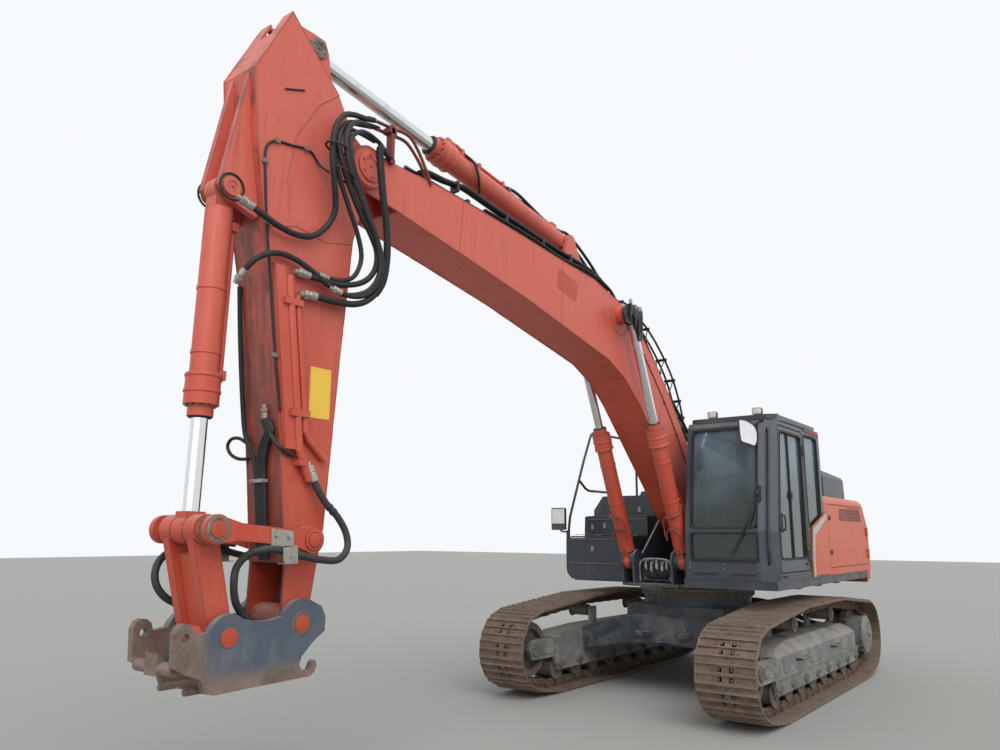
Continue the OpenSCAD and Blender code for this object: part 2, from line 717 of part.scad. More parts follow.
module tool_box() {
  color(dark) {
    for (y = lid_hinge_y) translate([step_x[1] + 16, y, step_z[0] + 15 + hinge_r]) rotate([90, 0, 0])
      hinge_base(80, 18);
    difference() {
      union() {
        // Round lower outer edge, slightly rounded upper one
        along_x(step_x[1] + 0.3, step_x[0] + 100) polygon(concat(
          arc([-upper_y + 145, deck_z + 160], 140, 180, 270), [[-520, deck_z + 20], [-520, step_z[0]]],
          arc([-upper_y + 25, step_z[0] - 20], 20, 90, 180, 3)
        ));
        along_x(tank_x1 + 8, step_x[1]) polygon([
          [-upper_y + 8, deck_z + skirt_h + 0.3], [-520, deck_z + skirt_h + 0.3], [-520, step_z[1]],
          [-upper_y + 55, step_z[1]], [-upper_y + 35, step_z[1] - 20]
        ]);
      }
      along_x(step_x[1] + 30, step_x[0] + 70) polygon([
        [-upper_y + 35, deck_z + 170], [-upper_y + 70, deck_z + 85], [-upper_y + 145, deck_z + 50],
        [-550, deck_z + 50], [-550, step_z[0] + 10], [-upper_y + 35, step_z[0] + 10]
      ]);
      box(step_x[1] - 40, step_x[0] + 20, -upper_y, -455, deck_z, deck_z + skirt_h + 0.3);
      box(tank_x1 + 38, step_x[1] - 30, -upper_y + 65, -550, deck_z + skirt_h - 5, step_z[1] - 30);
    }
  }
}
module tool_box_lid() {
  color(dark) {
    box(step_x[1] + 32, step_x[0] + 104, rail_y0 + 60, -515, step_z[0] + 5, step_z[0] + 25);
    for (y = lid_hinge_y) translate([step_x[1] + 16, y, step_z[0] + 15 + hinge_r]) rotate([90, 0, 0])
      hinge_leaf(80, 40);
  }
}

module counterweight() {
  color(orange) difference() {
    intersection() {
      // Tail circle with the outer corners rounded off
      translate([0, 0, weight_z]) linear_extrude(weight_top - weight_z) intersection() {
        circle(r = tail_r, $fn = 120);
        polygon([
          [weight_x, -1445], [-2900, -1380], [-3060, -1265], [-3140, -1110], [-3400, -900], [-3400, 900],
          [-3140, 1110], [-3060, 1265], [-2900, 1380], [weight_x, 1445]
        ]);
      }
      at_y(-upper_y, upper_y) polygon([
        [weight_x, weight_z], [weight_x, weight_top], [-3200, weight_top], [-3320, weight_top - 140],
        [-3380, 1900], [-3380, 1500], [-3300, weight_z + 60], [-3200, weight_z]
      ]);
      along_x(-tail_r, weight_x) polygon([
        [-1450, weight_z], [-1450, weight_top - 150], [-1380, weight_top - 60], [-1270, weight_top],
        [1270, weight_top], [1380, weight_top - 60], [1450, weight_top - 150], [1450, weight_z]
      ]);
    }
    box(weight_x - seat_x - 0.3, weight_x + 1, -bracket_out - 60.3, bracket_out + 60.3, weight_z - 1,
      deck_top + 0.3);
  }
}

// Plate with a bore across it, standing on a foot at z = 0
eye_bore = 32;
eye_t = 40;
module eye_plate(height, width) {
  at_y(-eye_t / 2, eye_t / 2) difference() {
    union() {
      polygon([[-width / 2, 0], [width / 2, 0], [eye_bore * 1.9, height], [-eye_bore * 1.9, height]]);
      translate([0, height]) circle(r = eye_bore * 1.9);
    }
    translate([0, height]) circle(r = eye_bore);
  }
}
module lifting_eyes() {
  color(orange) for (y = [-700, 700]) translate([weight_x - 250, y, weight_top + 0.3]) eye_plate(85, 220);
}
module tow_eyes() {
  color(dark) for (s = [-1, 1], y = [-250, 250]) translate([s * (beam_x + beam_half + 0.3), y, ground_clear + 170])
    rotate([90, 0, 0]) rotate([0, s * 90, 0]) eye_plate(90, 240);
}

tube_r = 17;
// A tube along points: straight lengths with a ball at each bend
module tube(p, r = tube_r) {
  for (i = [0:len(p) - 2]) {
    d = p[i + 1] - p[i];
    translate(p[i]) rotate([0, acos(d.z / norm(d)), atan2(d.y, d.x)]) cylinder(r = r, h = norm(d), $fn = 16);
  }
  if (len(p) > 2) for (i = [1:len(p) - 2]) translate(p[i]) sphere(r = r * 1.04, $fn = 16);
}
rail_y0 = -upper_y + 5 + 18;
module handrails() {
  color("black") {
    tube([[700, rail_y0, step_z[0] + 0.3], [700, rail_y0, step_z[0] + 110], [665, rail_y0, 2040], [285, rail_y0, 2822],
      [105, rail_y0, 3150], [70, rail_y0, 3200], [10, rail_y0, 3235], [-1180, rail_y0, 3235], [-1250, rail_y0, 3200],
      [-1280, rail_y0, 3120], [-1280, rail_y0, tank_z - 143.5]]);
    tube([[425, rail_y0, 2540], [250, rail_y0, 2430], [160, rail_y0, 2405], [-420, rail_y0, 2405],
      [-480, rail_y0, 2385], [-500, rail_y0, 2350], [-500, rail_y0, tank_z - 143.5]]);
  }
}
module mirrors() {
  color("black") {
    box(719, 740, rail_y0 - 14, rail_y0 + 28, step_z[0] + 0.3, step_z[0] + 96);
    tube([[729, rail_y0, step_z[0] + 76], [729, rail_y0 - 90, step_z[0] + 84], [729, rail_y0 - 130, 1880]], 11);
    along_x(716, 742) polygon([
      [-1722, 1875], [-1708, 1862], [-1514, 1862], [-1500, 1875], [-1500, 2142], [-1514, 2155], [-1708, 2155],
      [-1722, 2142]
    ]);
  }
}
module exhaust_pipe() {
  color("gray") translate([-2380, -1180, house_z + 0.3]) difference() {
    cylinder(r = 70, h = 420);
    translate([0, 0, -1]) cylinder(r = 62, h = 430);
  }
}
module work_lamps() {
  color("silver") {
    for (y = [cab_y0 + 274, upper_y - 210]) {
      box(cab_front(cab_top) - 130, cab_front(cab_top) - 60, y - 55, y + 55, cab_top + 0.3, cab_top + 85);
      rod_x(42, cab_front(cab_top) - 61, cab_front(cab_top) - 45, [y, cab_top + 44]);
    }
  }
}

// Boom: edges of the side plate, from the foot to the tip

boom_low = [
  [250, -170], [500, 20], [740, 300], [1060, 600], [1440, 960], [1720, 1220], [2000, 1430], [2370, 1590],
  [2920, 1700], [3900, 1895], [4800, 2040], [5590, 2160]
];
boom_up = [
  [5640, 2530], [5100, 2535], [4200, 2495], [3200, 2430], [2650, 2405], [2120, 2290], [1700, 2090],
  [1300, 1780], [900, 1400], [480, 900], [120, 430], [-110, 130]
];
boom_out = nose - foot;
tip_r = 170;
fork_in = arm_w / 2 + 7;
module boom_frame() {
  translate([foot[0], 0, foot[1]]) children();
}
module boom_plate() {
  polygon(concat(boom_low, boom_up));
  circle(r = 160);
  hull() {
    translate(boom_out) circle(r = tip_r, $fn = 32);
    translate([5560, 2345]) circle(r = 185, $fn = 32);
  }
}
module boom() {
  color(orange) boom_frame() difference() {
    union() {
      // Side plates
      both_sides() at_y(boom_w / 2 - boom_t, boom_w / 2) boom_plate();
      // Bottom and top plates
      at_y(-boom_w / 2 + 5, boom_w / 2 - 5) {
        edge_strip(boom_low, boom_t);
        edge_strip(boom_up, boom_t);
      }
      // Foot tube, tip cheeks, cylinder bosses and the ears of the arm cylinder
      rod_y([0, 0], 130, -boom_w / 2, boom_w / 2);
      both_sides() rod_y(boom_out, tip_r - 10, fork_in, boom_w / 2 + 45);
      rod_y(boom_out, nose_pin_r, -fork_in - 1, fork_in + 1);
      rod_y(arm_foot - foot, cyl_pin_r, -90, 90);
      both_sides() rod_y(boom_eye - foot, 105, boom_w / 2 - 5, boom_cyl_y - boom_rod_r - 6);
      both_sides() at_y(72, 112) {
        polygon([
          arm_foot - foot + [-330, -390], arm_foot - foot + [-90, 0], arm_foot - foot + [90, 0],
          arm_foot - foot + [190, -390]
        ]);
        translate(arm_foot - foot) circle(r = 90);
      }
      at_y(-boom_w / 2 + 5, boom_w / 2 - 5) polygon([[5330, 2140], [5360, 2135], [5360, 2515], [5330, 2515]]);
    }
    rod_y([0, 0], foot_pin_r + pin_gap, -400, 400);
  }
}
// A strip of thickness t on the inner side of a polyline
module edge_strip(p, t) {
  n = len(p);
  function side(i) = let (d = p[min(i + 1, n - 1)] - p[max(i - 1, 0)]) [-d.y, d.x] / norm(d);
  polygon(concat(p, [for (i = [n - 1:-1:0]) p[i] + t * side(i)]));
}
pipe_r = 18;
// Clamp block across the pipes, standing on a straight length of the top plate
module saddle(a, b) {
  d = b - a;
  translate([a.x + d.x / 2, 0, a.y + d.y / 2]) rotate([0, -atan2(d.y, d.x), 0])
    box(-30, 30, -180, 180, 0.3, 75);
}
module boom_pipes() {
  color("black") boom_frame() {
    for (y = [-150, -100, 100, 150])
      tube([[900, y, 1480], [1250, y, 1830], [1680, y, 2160], [2120, y, 2350], [2550, y, 2440]], pipe_r);
    for (k = [7, 9]) saddle(boom_up[k], boom_up[k - 1]);
  }
}

// Cylinders: barrel from its foot pin to the gland, rod from inside the gland to its eye

function aim(a, b) = atan2(b[1] - a[1], b[0] - a[0]);
module along(p, angle) {
  translate([p[0], 0, p[1]]) rotate([0, -angle, 0]) children();
}
module rod_x(r, x0, x1, c = [0, 0]) {
  translate([x0, c[0], c[1]]) rotate([0, 90, 0]) cylinder(r = r, h = x1 - x0);
}
module barrel(r, bore, length, eye_r, half, pipe_side = 1) {
  difference() {
    union() {
      rod_y([0, 0], eye_r, -half, half);
      box(eye_r * 0.5, eye_r + 50, -half, half, -eye_r * 0.75, eye_r * 0.75);
      rod_x(r, eye_r + 40, length - 100);
      rod_x(r + 18, length - 260, length - 70);
      rod_x(r - 10, length - 75, length);
      // Oil pipe along the barrel with its two blocks
      rod_x(17, eye_r + 120, length - 230, [0, pipe_side * (r + 24)]);
      for (x = [eye_r + 100, length - 300])
        box(x, x + 60, -34, 34, min(pipe_side * (r - 12), pipe_side * (r + 46)),
          max(pipe_side * (r - 12), pipe_side * (r + 46)));
    }
    rod_x(bore + pin_gap, eye_r + 52, length + 1);
    rod_y([0, 0], cyl_pin_r + pin_gap, -half - 1, half + 1);
  }
}
module rod(r, x0, x1, eye_r, half) {
  rod_x(r, x0, x1 - eye_r - 8);
  box(x1 - eye_r - 16, x1 - eye_r * 0.5, -half, half, -eye_r * 0.7, eye_r * 0.7);
  rod_y([x1, 0], eye_r, -half, half);
}
boom_cyl_len = norm(boom_eye - cyl_foot);
boom_barrel_len = 1655;
module boom_cylinder_barrel() {
  along(cyl_foot, aim(cyl_foot, boom_eye)) barrel(boom_cyl_r, boom_rod_r, boom_barrel_len, 95, eye_half);
}
module boom_cylinder_rod() {
  along(cyl_foot, aim(cyl_foot, boom_eye))
    rod(boom_rod_r, boom_barrel_len - 619, boom_cyl_len, 100, eye_half);
}
module boom_barrel_left() {
  color(orange) translate([0, boom_cyl_y, 0]) boom_cylinder_barrel();
}
module boom_barrel_right() {
  color(orange) translate([0, -boom_cyl_y, 0]) boom_cylinder_barrel();
}
module boom_rod_left() {
  color(steel) translate([0, boom_cyl_y, 0]) boom_cylinder_rod();
}
module boom_rod_right() {
  color(steel) translate([0, -boom_cyl_y, 0]) boom_cylinder_rod();
}
arm_barrel_len = 2125;
module arm_barrel() {
  color(orange) along(arm_foot, aim(arm_foot, arm_eye))
    barrel(arm_cyl_r, arm_rod_r, arm_barrel_len, 95, 62);
}
module arm_rod() {
  color(steel) along(arm_foot, aim(arm_foot, arm_eye))
    rod(arm_rod_r, arm_barrel_len - 560, norm(arm_eye - arm_foot), 95, 62);
}
tip_barrel_len = 1457;
module coupler_barrel() {
  color(orange) along(tip_foot, aim(tip_foot, link_pin))
    barrel(tip_cyl_r, tip_rod_r, tip_barrel_len, 85, 58, -1);
}
module coupler_rod() {
  color(steel) along(tip_foot, aim(tip_foot, link_pin))
    rod(tip_rod_r, tip_barrel_len - 800, norm(link_pin - tip_foot), 85, 58);
}

// Arm: profile of the side plate from the pivot, then round the tip and up the front

arm_end = tip - nose;
arm_form = [
  [-60, -150], [55, -574], [124, -1423], arm_end + [-175, 566], arm_end + [-80, -3], arm_end + [50, -113],
  arm_end + [120, -3], arm_end + [112, 365], arm_end + [180, 977], [700, -1100], [790, -700], [900, -100],
  [949, 374], [689, 921], [246, 487], [100, 240], [-60, 150]
];
module arm() {
  color(orange) translate([nose[0], 0, nose[1]]) difference() {
    union() {
      both_sides() at_y(arm_w / 2 - arm_t, arm_w / 2) {
        polygon(arm_form);
        circle(r = 160);
        translate(tip - nose) circle(r = 125);
      }
      // Rear, front and top plates
      at_y(-arm_w / 2 + 5, arm_w / 2 - 5) {
        edge_strip([for (i = [0:4]) arm_form[i]], arm_t);
        edge_strip([for (i = [7:13]) arm_form[i]], arm_t);
      }
      rod_y([0, 0], 135, -arm_w / 2, arm_w / 2);
      rod_y(tip - nose, 110, -arm_w / 2, arm_w / 2);
      rod_y(guide_pin - nose, 80, -arm_w / 2 - 64, arm_w / 2 + 64);
      // Ears of the arm cylinder's rod and of the coupler's cylinder
      rod_y(tip_foot - nose, cyl_pin_r, -90, 90);
      rod_y(guide_pin - nose, cyl_pin_r, -link_y1 - 4, link_y1 + 4);
      both_sides() at_y(70, 110) polygon([
        arm_eye - nose + [-100, 0], arm_eye - nose + [-60, 90], arm_eye - nose + [50, 95], [689, 900],
        [560, 560], [246, 487]
      ]);
      both_sides() at_y(66, 116) polygon([
        [940, 390], [tip_foot[0] - nose[0] + 85, tip_foot[1] - nose[1]], [tip_foot[0] - nose[0], tip_foot[1] - nose[1] - 85],
        [820, -640], [780, -100]
      ]);
    }
    rod_y(tip - nose, tip_pin_r + pin_gap, -400, 400);
    rod_y([0, 0], nose_pin_r + pin_gap, -400, 400);
    // Room for the cylinder's rod eye between its ears
    at_y(-69, 69) polygon([[740, 730], [830, 780], [720, 960], [600, 960], [600, 850]]);
  }
}
// Guard strip, two oil pipes and their clamps on the arm's left face
module arm_pipes() {
  y = arm_w / 2;
  color(orange) translate([nose[0], 0, nose[1]]) {
    at_y(y + 0.3, y + 36) polygon([[730, -930], [645, -930], [482, -2110], [563, -2110]]);
    tube([[610, y + 30, -985], [610 - 0.138 * 1125, y + 30, -2110], [360, y + 30, -2300]], 27);
    tube([[535, y + 26, -1100], [412, y + 26, -1990], [374, y + 26, -2045], [240, y + 26, -2160]], 21);
    for (z = [-1180, -1900]) box(500 + (z + 1180) * 0.138, 650 + (z + 1180) * 0.138, y + 0.3, y + 57, z, z + 45);
    box(395, 470, y + 0.3, y + 57, -2210, -2170);
  }
}

link_y0 = arm_w / 2 + 65;
link_y1 = link_y0 + 45;
link_span = norm(link_pin - guide_pin);
power_span = norm(coupler_front - link_pin);
module guide_links() {
  color(orange) both_sides() at_y(link_y0, link_y1) difference() {
    union() {
      for (p = [guide_pin, link_pin]) translate(p) circle(r = 84);
      translate(guide_pin) rotate(aim(guide_pin, link_pin)) polygon([
        [20, -76], [150, -50], [link_span - 150, -50], [link_span - 20, -76],
        [link_span - 20, 76], [link_span - 150, 50], [150, 50], [20, 76]
      ]);
    }
    translate(guide_pin) circle(r = cyl_pin_r + pin_gap);
  }
  color(orange) rod_y(link_pin, 45, 66, link_y0 + 1);
  color(orange) rod_y(link_pin, 45, -link_y0 - 1, -66);
}
module power_link() {
  color(orange) difference() {
    union() {
      both_sides() rod_y(link_pin, 86, 66, arm_w / 2 + 1);
      both_sides() at_y(90, 160) hull() {
        translate(link_pin) circle(r = 80, $fn = 32);
        translate(coupler_front) circle(r = 75, $fn = 32);
      }
      rod_y(coupler_front, 80, -arm_w / 2 + 2, arm_w / 2 - 2);
      // Web between the two plates, set back from their front edges
      at_y(-91, 91) translate(link_pin) rotate(aim(link_pin, coupler_front))
        polygon([[135, -42], [power_span - 60, -50], [power_span - 60, 40], [135, 32]]);
    }
    rod_y(link_pin, 45 + pin_gap, -400, 400);
  }
}

coupler_y0 = arm_w / 2 + coupler_gap;
coupler_y1 = coupler_y0 + coupler_t;
coupler_form = [
  [-186, 30], [-150, 95], [-83, 126], [10, 112], [80, 70], [132, 53], [230, 38], [336, 40], [430, 62],
  [531, 77], [585, 40], [604, 12], [680, -2], [728, -10], [742, 36], [770, 58], [800, 63], [832, 50], [850, 10],
  [840, -165], [770, -205], [690, -235], [670, -249], [639, -316], [587, -334], [300, -326], [-33, -319],
  [-80, -319], [-116, -296], [-132, -260], [-118, -226], [-100, -238], [-84, -278], [-44, -290], [-15, -272],
  [4, -243], [-9, -197], [-98, -111], [-184, -57]
];
module coupler() {
  color(dark) translate([tip[0], 0, tip[1]]) {
    both_sides() at_y(coupler_y0, coupler_y1) difference() {
      union() {
        polygon(coupler_form);
        circle(r = 150);
        translate(coupler_front - tip) circle(r = 130);
      }
      translate([784, -15]) circle(r = 24);
    }
    rod_y([0, 0], tip_pin_r, -coupler_y1 - 3, coupler_y1 + 3);
    // Bottom plate, front cross bar with its middle block, locking bolts
    at_y(-coupler_y0 - 5, coupler_y0 + 5)
      polygon([[40, -285], [380, -285], [480, -305], [640, -305], [600, -332], [20, -332]]);
    rod_y([800, -182], 36, -coupler_y0 - 5, coupler_y0 + 5);
    at_y(-62, 62) polygon([[762, -222], [836, -222], [836, -102], [762, -164]]);
    for (y = [-125, 125]) rod_x(20, 520, 700, [y, -316]);
  }
}

car_body();
side_frames();
track_left();
track_right();
idlers();
sprockets();
travel_motors();
track_rollers();
slew_ring();
revolving_frame();
cab_shell();
cab_glass();
operator_seat();
cab_controls();
counterweight();
left_housing();
right_housing();
engine_cover();
engine_block();
fuel_tank();
tool_box();
handrails();
mirrors();
exhaust_pipe();
work_lamps();
cab_door();
cab_door_glass();
engine_hood();
left_service_door();
right_service_door();
tool_box_lid();
lifting_eyes();
tow_eyes();
boom();
boom_pipes();
boom_barrel_left();
boom_barrel_right();
boom_rod_left();
boom_rod_right();
arm();
arm_pipes();
arm_barrel();
arm_rod();
coupler_barrel();
coupler_rod();
guide_links();
power_link();
coupler();
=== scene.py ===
import json
import math
import random
from itertools import product

import bmesh
import bpy
from mathutils import Matrix, Vector

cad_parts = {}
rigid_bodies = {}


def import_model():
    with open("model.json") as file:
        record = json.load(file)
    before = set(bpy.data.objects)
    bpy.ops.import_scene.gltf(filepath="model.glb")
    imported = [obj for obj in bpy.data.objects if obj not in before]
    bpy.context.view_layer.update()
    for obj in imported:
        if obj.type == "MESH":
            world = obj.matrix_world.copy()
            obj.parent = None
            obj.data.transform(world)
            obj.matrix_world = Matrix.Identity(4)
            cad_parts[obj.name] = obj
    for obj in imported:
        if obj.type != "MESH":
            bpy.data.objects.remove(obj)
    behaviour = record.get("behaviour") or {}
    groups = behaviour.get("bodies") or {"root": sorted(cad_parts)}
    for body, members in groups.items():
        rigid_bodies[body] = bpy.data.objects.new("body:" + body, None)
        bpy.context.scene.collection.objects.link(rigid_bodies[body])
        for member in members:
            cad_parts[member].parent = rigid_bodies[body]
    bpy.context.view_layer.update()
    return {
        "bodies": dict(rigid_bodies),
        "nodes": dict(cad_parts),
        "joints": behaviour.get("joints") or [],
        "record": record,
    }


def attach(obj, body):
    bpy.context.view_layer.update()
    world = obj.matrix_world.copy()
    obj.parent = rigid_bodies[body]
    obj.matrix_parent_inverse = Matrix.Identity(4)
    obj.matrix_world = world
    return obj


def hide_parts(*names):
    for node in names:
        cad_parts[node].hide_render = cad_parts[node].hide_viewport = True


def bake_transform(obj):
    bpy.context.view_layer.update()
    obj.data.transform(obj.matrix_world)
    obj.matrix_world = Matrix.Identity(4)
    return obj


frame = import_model()  # metres, +X forward along the boom, +Y to the machine's left, +Z up
nodes = frame["nodes"]
print("frame loaded:", len(nodes), "nodes")

# The camera stands low in front of the machine, to its left, and looks slightly up

cameraSet = {
    "place": (9.84, 4.275, 1.786),
    "yaw": 217.104,
    "pitch": 11.464,
    "roll": 0.28,
    "focalPixels": 791.284,
    "pixelsWide": 1000,
    "sensor": 36,
    "farthest": 300,
}


def makeCamera(s):
    yaw, pitch, roll = (math.radians(s[k]) for k in ("yaw", "pitch", "roll"))
    ahead = Vector((math.cos(pitch) * math.cos(yaw), math.cos(pitch) * math.sin(yaw), math.sin(pitch)))
    side = Vector((math.sin(yaw), -math.cos(yaw), 0))
    up = side.cross(ahead)
    right = math.cos(roll) * side + math.sin(roll) * up
    top = math.cos(roll) * up - math.sin(roll) * side
    data = bpy.data.cameras.new("camera")
    data.sensor_width = s["sensor"]
    data.lens = s["focalPixels"] / s["pixelsWide"] * s["sensor"]
    data.clip_end = s["farthest"]
    camera = bpy.data.objects.new("camera", data)
    bpy.context.collection.objects.link(camera)
    turn = Matrix((right, top, -ahead)).transposed()
    camera.matrix_world = Matrix.Translation(s["place"]) @ turn.to_4x4()
    bpy.context.scene.camera = camera


makeCamera(cameraSet)
print("camera placed")

# Shader maths: a wire is one socket of one paint, and operators on wires add nodes


class Wire:
    def __init__(self, paint, socket):
        self.paint = paint
        self.socket = socket

    def __add__(self, other):
        return self.paint.math("ADD", self, other)

    def __radd__(self, other):
        return self.paint.math("ADD", other, self)

    def __sub__(self, other):
        return self.paint.math("SUBTRACT", self, other)

    def __rsub__(self, other):
        return self.paint.math("SUBTRACT", other, self)

    def __mul__(self, other):
        return self.paint.math("MULTIPLY", self, other)

    def __rmul__(self, other):
        return self.paint.math("MULTIPLY", other, self)

    def __truediv__(self, other):
        return self.paint.math("DIVIDE", self, other)

    def __rtruediv__(self, other):
        return self.paint.math("DIVIDE", other, self)

    def __pow__(self, other):
        return self.paint.math("POWER", self, other)

    def __neg__(self):
        return self.paint.math("MULTIPLY", self, -1)


class Paint:
    def __init__(self, name, **fixed):
        self.material = bpy.data.materials.new(name)
        self.material.use_nodes = True
        self.tree = self.material.node_tree
        self.tree.nodes.clear()
        self.shader = self.tree.nodes.new("ShaderNodeBsdfPrincipled")
        output = self.tree.nodes.new("ShaderNodeOutputMaterial")
        self.tree.links.new(self.shader.outputs[0], output.inputs[0])
        for socket, value in fixed.items():
            self.shader.inputs[socket.replace("_", " ")].default_value = value
        self.place = self.node("ShaderNodeTexCoord", out="Object")
        x, y, z = (self.node("ShaderNodeSeparateXYZ", inputs={0: self.place}, out=k) for k in range(3))
        self.x, self.y, self.z = x, y, z
        normal = self.node("ShaderNodeTexCoord", out="Normal")
        self.facingAhead, self.facingUp = (self.node("ShaderNodeSeparateXYZ", inputs={0: normal}, out=k)
            for k in (0, 2))

    def feed(self, socket, value):
        if isinstance(value, Wire):
            self.tree.links.new(value.socket, socket)
        elif value is not None:
            if hasattr(socket.default_value, "__len__") and len(socket.default_value) == 4 and len(value) == 3:
                value = (*value, 1)
            socket.default_value = value

    def node(self, kind, settings=None, inputs=None, out=0):
        made = self.tree.nodes.new(kind)
        for name, value in (settings or {}).items():
            if name == "stops":
                band = made.color_ramp
                while len(band.elements) < len(value):
                    band.elements.new(1)
                for stop, (at, shade) in zip(band.elements, value):
                    stop.position = at
                    stop.color = (shade, shade, shade, 1) if isinstance(shade, (int, float)) else (*shade, 1)
            else:
                setattr(made, name, value)
        for key, value in (inputs or {}).items():
            self.feed(made.inputs[key], value)
        return Wire(self, made.outputs[out])

    def math(self, operation, a, b=None, clamp=False):
        inputs = {0: a} if b is None else {0: a, 1: b}
        return self.node("ShaderNodeMath", {"operation": operation, "use_clamp": clamp}, inputs)

    def stretch(self, vector, scale):
        return self.node("ShaderNodeVectorMath", {"operation": "MULTIPLY"}, {0: vector, 1: scale})

    def blend(self, a, b, amount):
        return self.node("ShaderNodeMix", {"data_type": "RGBA"}, {0: amount, 6: a, 7: b}, out=2)

    def noise(self, scale, detail=4.0, rough=0.55, where=None, warp=0.0):
        inputs = {"Vector": where or self.place, "Scale": scale, "Detail": detail, "Roughness": rough}
        inputs["Distortion"] = warp
        return self.node("ShaderNodeTexNoise", None, inputs)

    def cells(self, scale, where=None, feature="F1", out=0):
        return self.node("ShaderNodeTexVoronoi", {"feature": feature},
            {"Vector": where or self.place, "Scale": scale}, out)

    def step(self, value, low, high):
        inputs = {0: value, 1: low, 2: high, 3: 0.0, 4: 1.0}
        return self.node("ShaderNodeMapRange", {"interpolation_type": "SMOOTHSTEP"}, inputs)

    def edges(self, radius=0.012):
        # Where a rounded copy of the surface turns away from the real one
        round = self.node("ShaderNodeBevel", {"samples": 4}, {"Radius": radius})
        flat = self.node("ShaderNodeNewGeometry", out="Normal")
        dot = self.node("ShaderNodeVectorMath", {"operation": "DOT_PRODUCT"}, {0: round, 1: flat}, out="Value")
        return self.step(1 - dot, 0.02, 0.22)

    def finish(self, color=None, roughness=None, metallic=None, height=None, depth=0.001):
        self.feed(self.shader.inputs["Base Color"], color)
        self.feed(self.shader.inputs["Roughness"], roughness)
        self.feed(self.shader.inputs["Metallic"], metallic)
        if height is not None:
            bump = self.node("ShaderNodeBump", None, {"Strength": 0.6, "Distance": depth, "Height": height})
            self.tree.links.new(bump.socket, self.shader.inputs["Normal"])
        return self.material


dust = (0.34, 0.31, 0.27)
soil = (0.16, 0.12, 0.085)
rust = (0.17, 0.065, 0.028)


def coatOfPaint(name, base, faded, chipColor, roughness=0.42, wear=1.0, dusty=1.0, rusty=None, greaseAndShade=0.0,
        paleWithHeight=0.0):
    # Weathered machine paint: faded patches, rain streaks, dust on what faces up, chips along edges
    p = Paint(name)
    broad = p.noise(0.9, 3)
    cloudy = p.noise(4.5, 5, 0.6, warp=0.6)
    fine = p.noise(60, 4, 0.65)
    streaks = p.noise(1.0, 4, 0.6, where=p.stretch(p.place, (22, 22, 1.3)))
    color = p.blend((*base, 1), (*faded, 1), p.step(broad * 0.5 + cloudy * 0.5, 0.42, 0.68))
    if paleWithHeight:
        # The red turns paler and pinker with height
        color = p.blend(color, (0.74, 0.165, 0.125, 1), p.step(p.z + broad * 1.6, 2.4, 5.6) * paleWithHeight)
    grime = p.step(streaks * 0.6 + cloudy * 0.4, 0.52, 0.7) * 0.4
    color = p.blend(color, tuple(0.35 * c for c in base), grime)
    if greaseAndShade:
        # Old grease with painted shade on the faces that point forward, thicker towards the bottom: it stands in
        # for the shade of the hoses and of the arm's open front
        film = p.step(p.facingAhead, 0.45, 0.95) * p.step(streaks * 0.5 + cloudy * 0.5 + (3.2 - p.z) * 0.06, 0.3,
            0.62)
        color = p.blend(color, (0.075, 0.036, 0.030), film * greaseAndShade)
    lying = p.step(p.facingUp, 0.35, 0.9) * p.step(cloudy + fine * 0.4, 0.45, 0.85) * (0.75 * dusty)
    low = p.step(1.6 - p.z, 0.0, 1.5) * p.step(cloudy, 0.4, 0.7) * (0.4 * dusty)
    color = p.blend(color, dust, p.math("MAXIMUM", lying, low))
    speckle = p.step(p.noise(140, 3, 0.6), 0.66, 0.72) * p.step(cloudy, 0.5, 0.62)
    worn = p.step(p.edges(0.01) + fine * 0.55 - 0.3, 0.42, 0.62) * wear
    chips = p.math("MAXIMUM", worn, speckle * (0.7 * wear))
    color = p.blend(color, chipColor, chips)
    if rusty:
        # Worn to brown steel at its front and along its lower edge
        front, below = rusty
        bare = p.math("MAXIMUM", p.step(p.x + cloudy * 0.16, front, front + 0.12),
            p.step(below + cloudy * 0.14 - p.z, -0.02, 0.1))
        earth = p.blend((0.27, 0.19, 0.145, 1), (0.12, 0.078, 0.058, 1),
            p.step(fine * 0.3 + cloudy * 0.7, 0.36, 0.68))
        color = p.blend(color, earth, bare * 0.9)
    shine = roughness + cloudy * 0.16 + fine * 0.08 + p.math("MAXIMUM", lying, chips) * 0.25 - 0.1
    return p.finish(color, shine, None, fine * 0.25 + cloudy * 0.4 - chips * 0.5, 0.0012)


def bareSteel(name, base, dark, roughness=0.5, metallic=0.6, rusty=0.5, soiled=0.5, grain=30):
    # Unpainted working steel: rust in patches, soil caught on top, rubbed bright on its edges
    p = Paint(name)
    patch = p.noise(7, 6, 0.65, warp=0.8)
    fine = p.noise(grain * 3, 5, 0.7)
    pits = p.cells(grain * 4)
    color = p.blend((*dark, 1), (*base, 1), p.step(patch * 0.6 + fine * 0.4, 0.36, 0.66))
    color = p.blend(color, rust, p.step(p.noise(13, 6, 0.7, warp=1.2), 0.44, 0.62) * rusty)
    mud = p.step(p.noise(5, 5, 0.7) + p.facingUp * 0.14, 0.46, 0.66) * soiled
    color = p.blend(color, soil, mud)
    rubbed = p.step(p.edges(0.008) + fine * 0.4 - 0.2, 0.4, 0.7)
    color = p.blend(color, (0.33, 0.30, 0.27), rubbed * 0.7)
    metal = (1 - mud) * metallic * (0.5 + rubbed * 0.5)
    rough = roughness + patch * 0.25 + mud * 0.3 - rubbed * 0.2
    return p.finish(color, rough, metal, fine * 0.5 + patch * 0.5 - p.step(pits, 0.25, 0.0) * 0.3 + mud, 0.003)


def polishedRod(name):
    p = Paint(name)
    wipe = p.noise(2.0, 4, where=p.stretch(p.place, (30, 30, 3)))
    smear = p.step(p.noise(9, 5, warp=0.6), 0.55, 0.72)
    color = p.blend((0.74, 0.75, 0.76, 1), (0.50, 0.49, 0.46, 1), smear * 0.5)
    return p.finish(color, 0.08 + wipe * 0.14 + smear * 0.18, 1 - smear * 0.4, wipe, 0.0002)


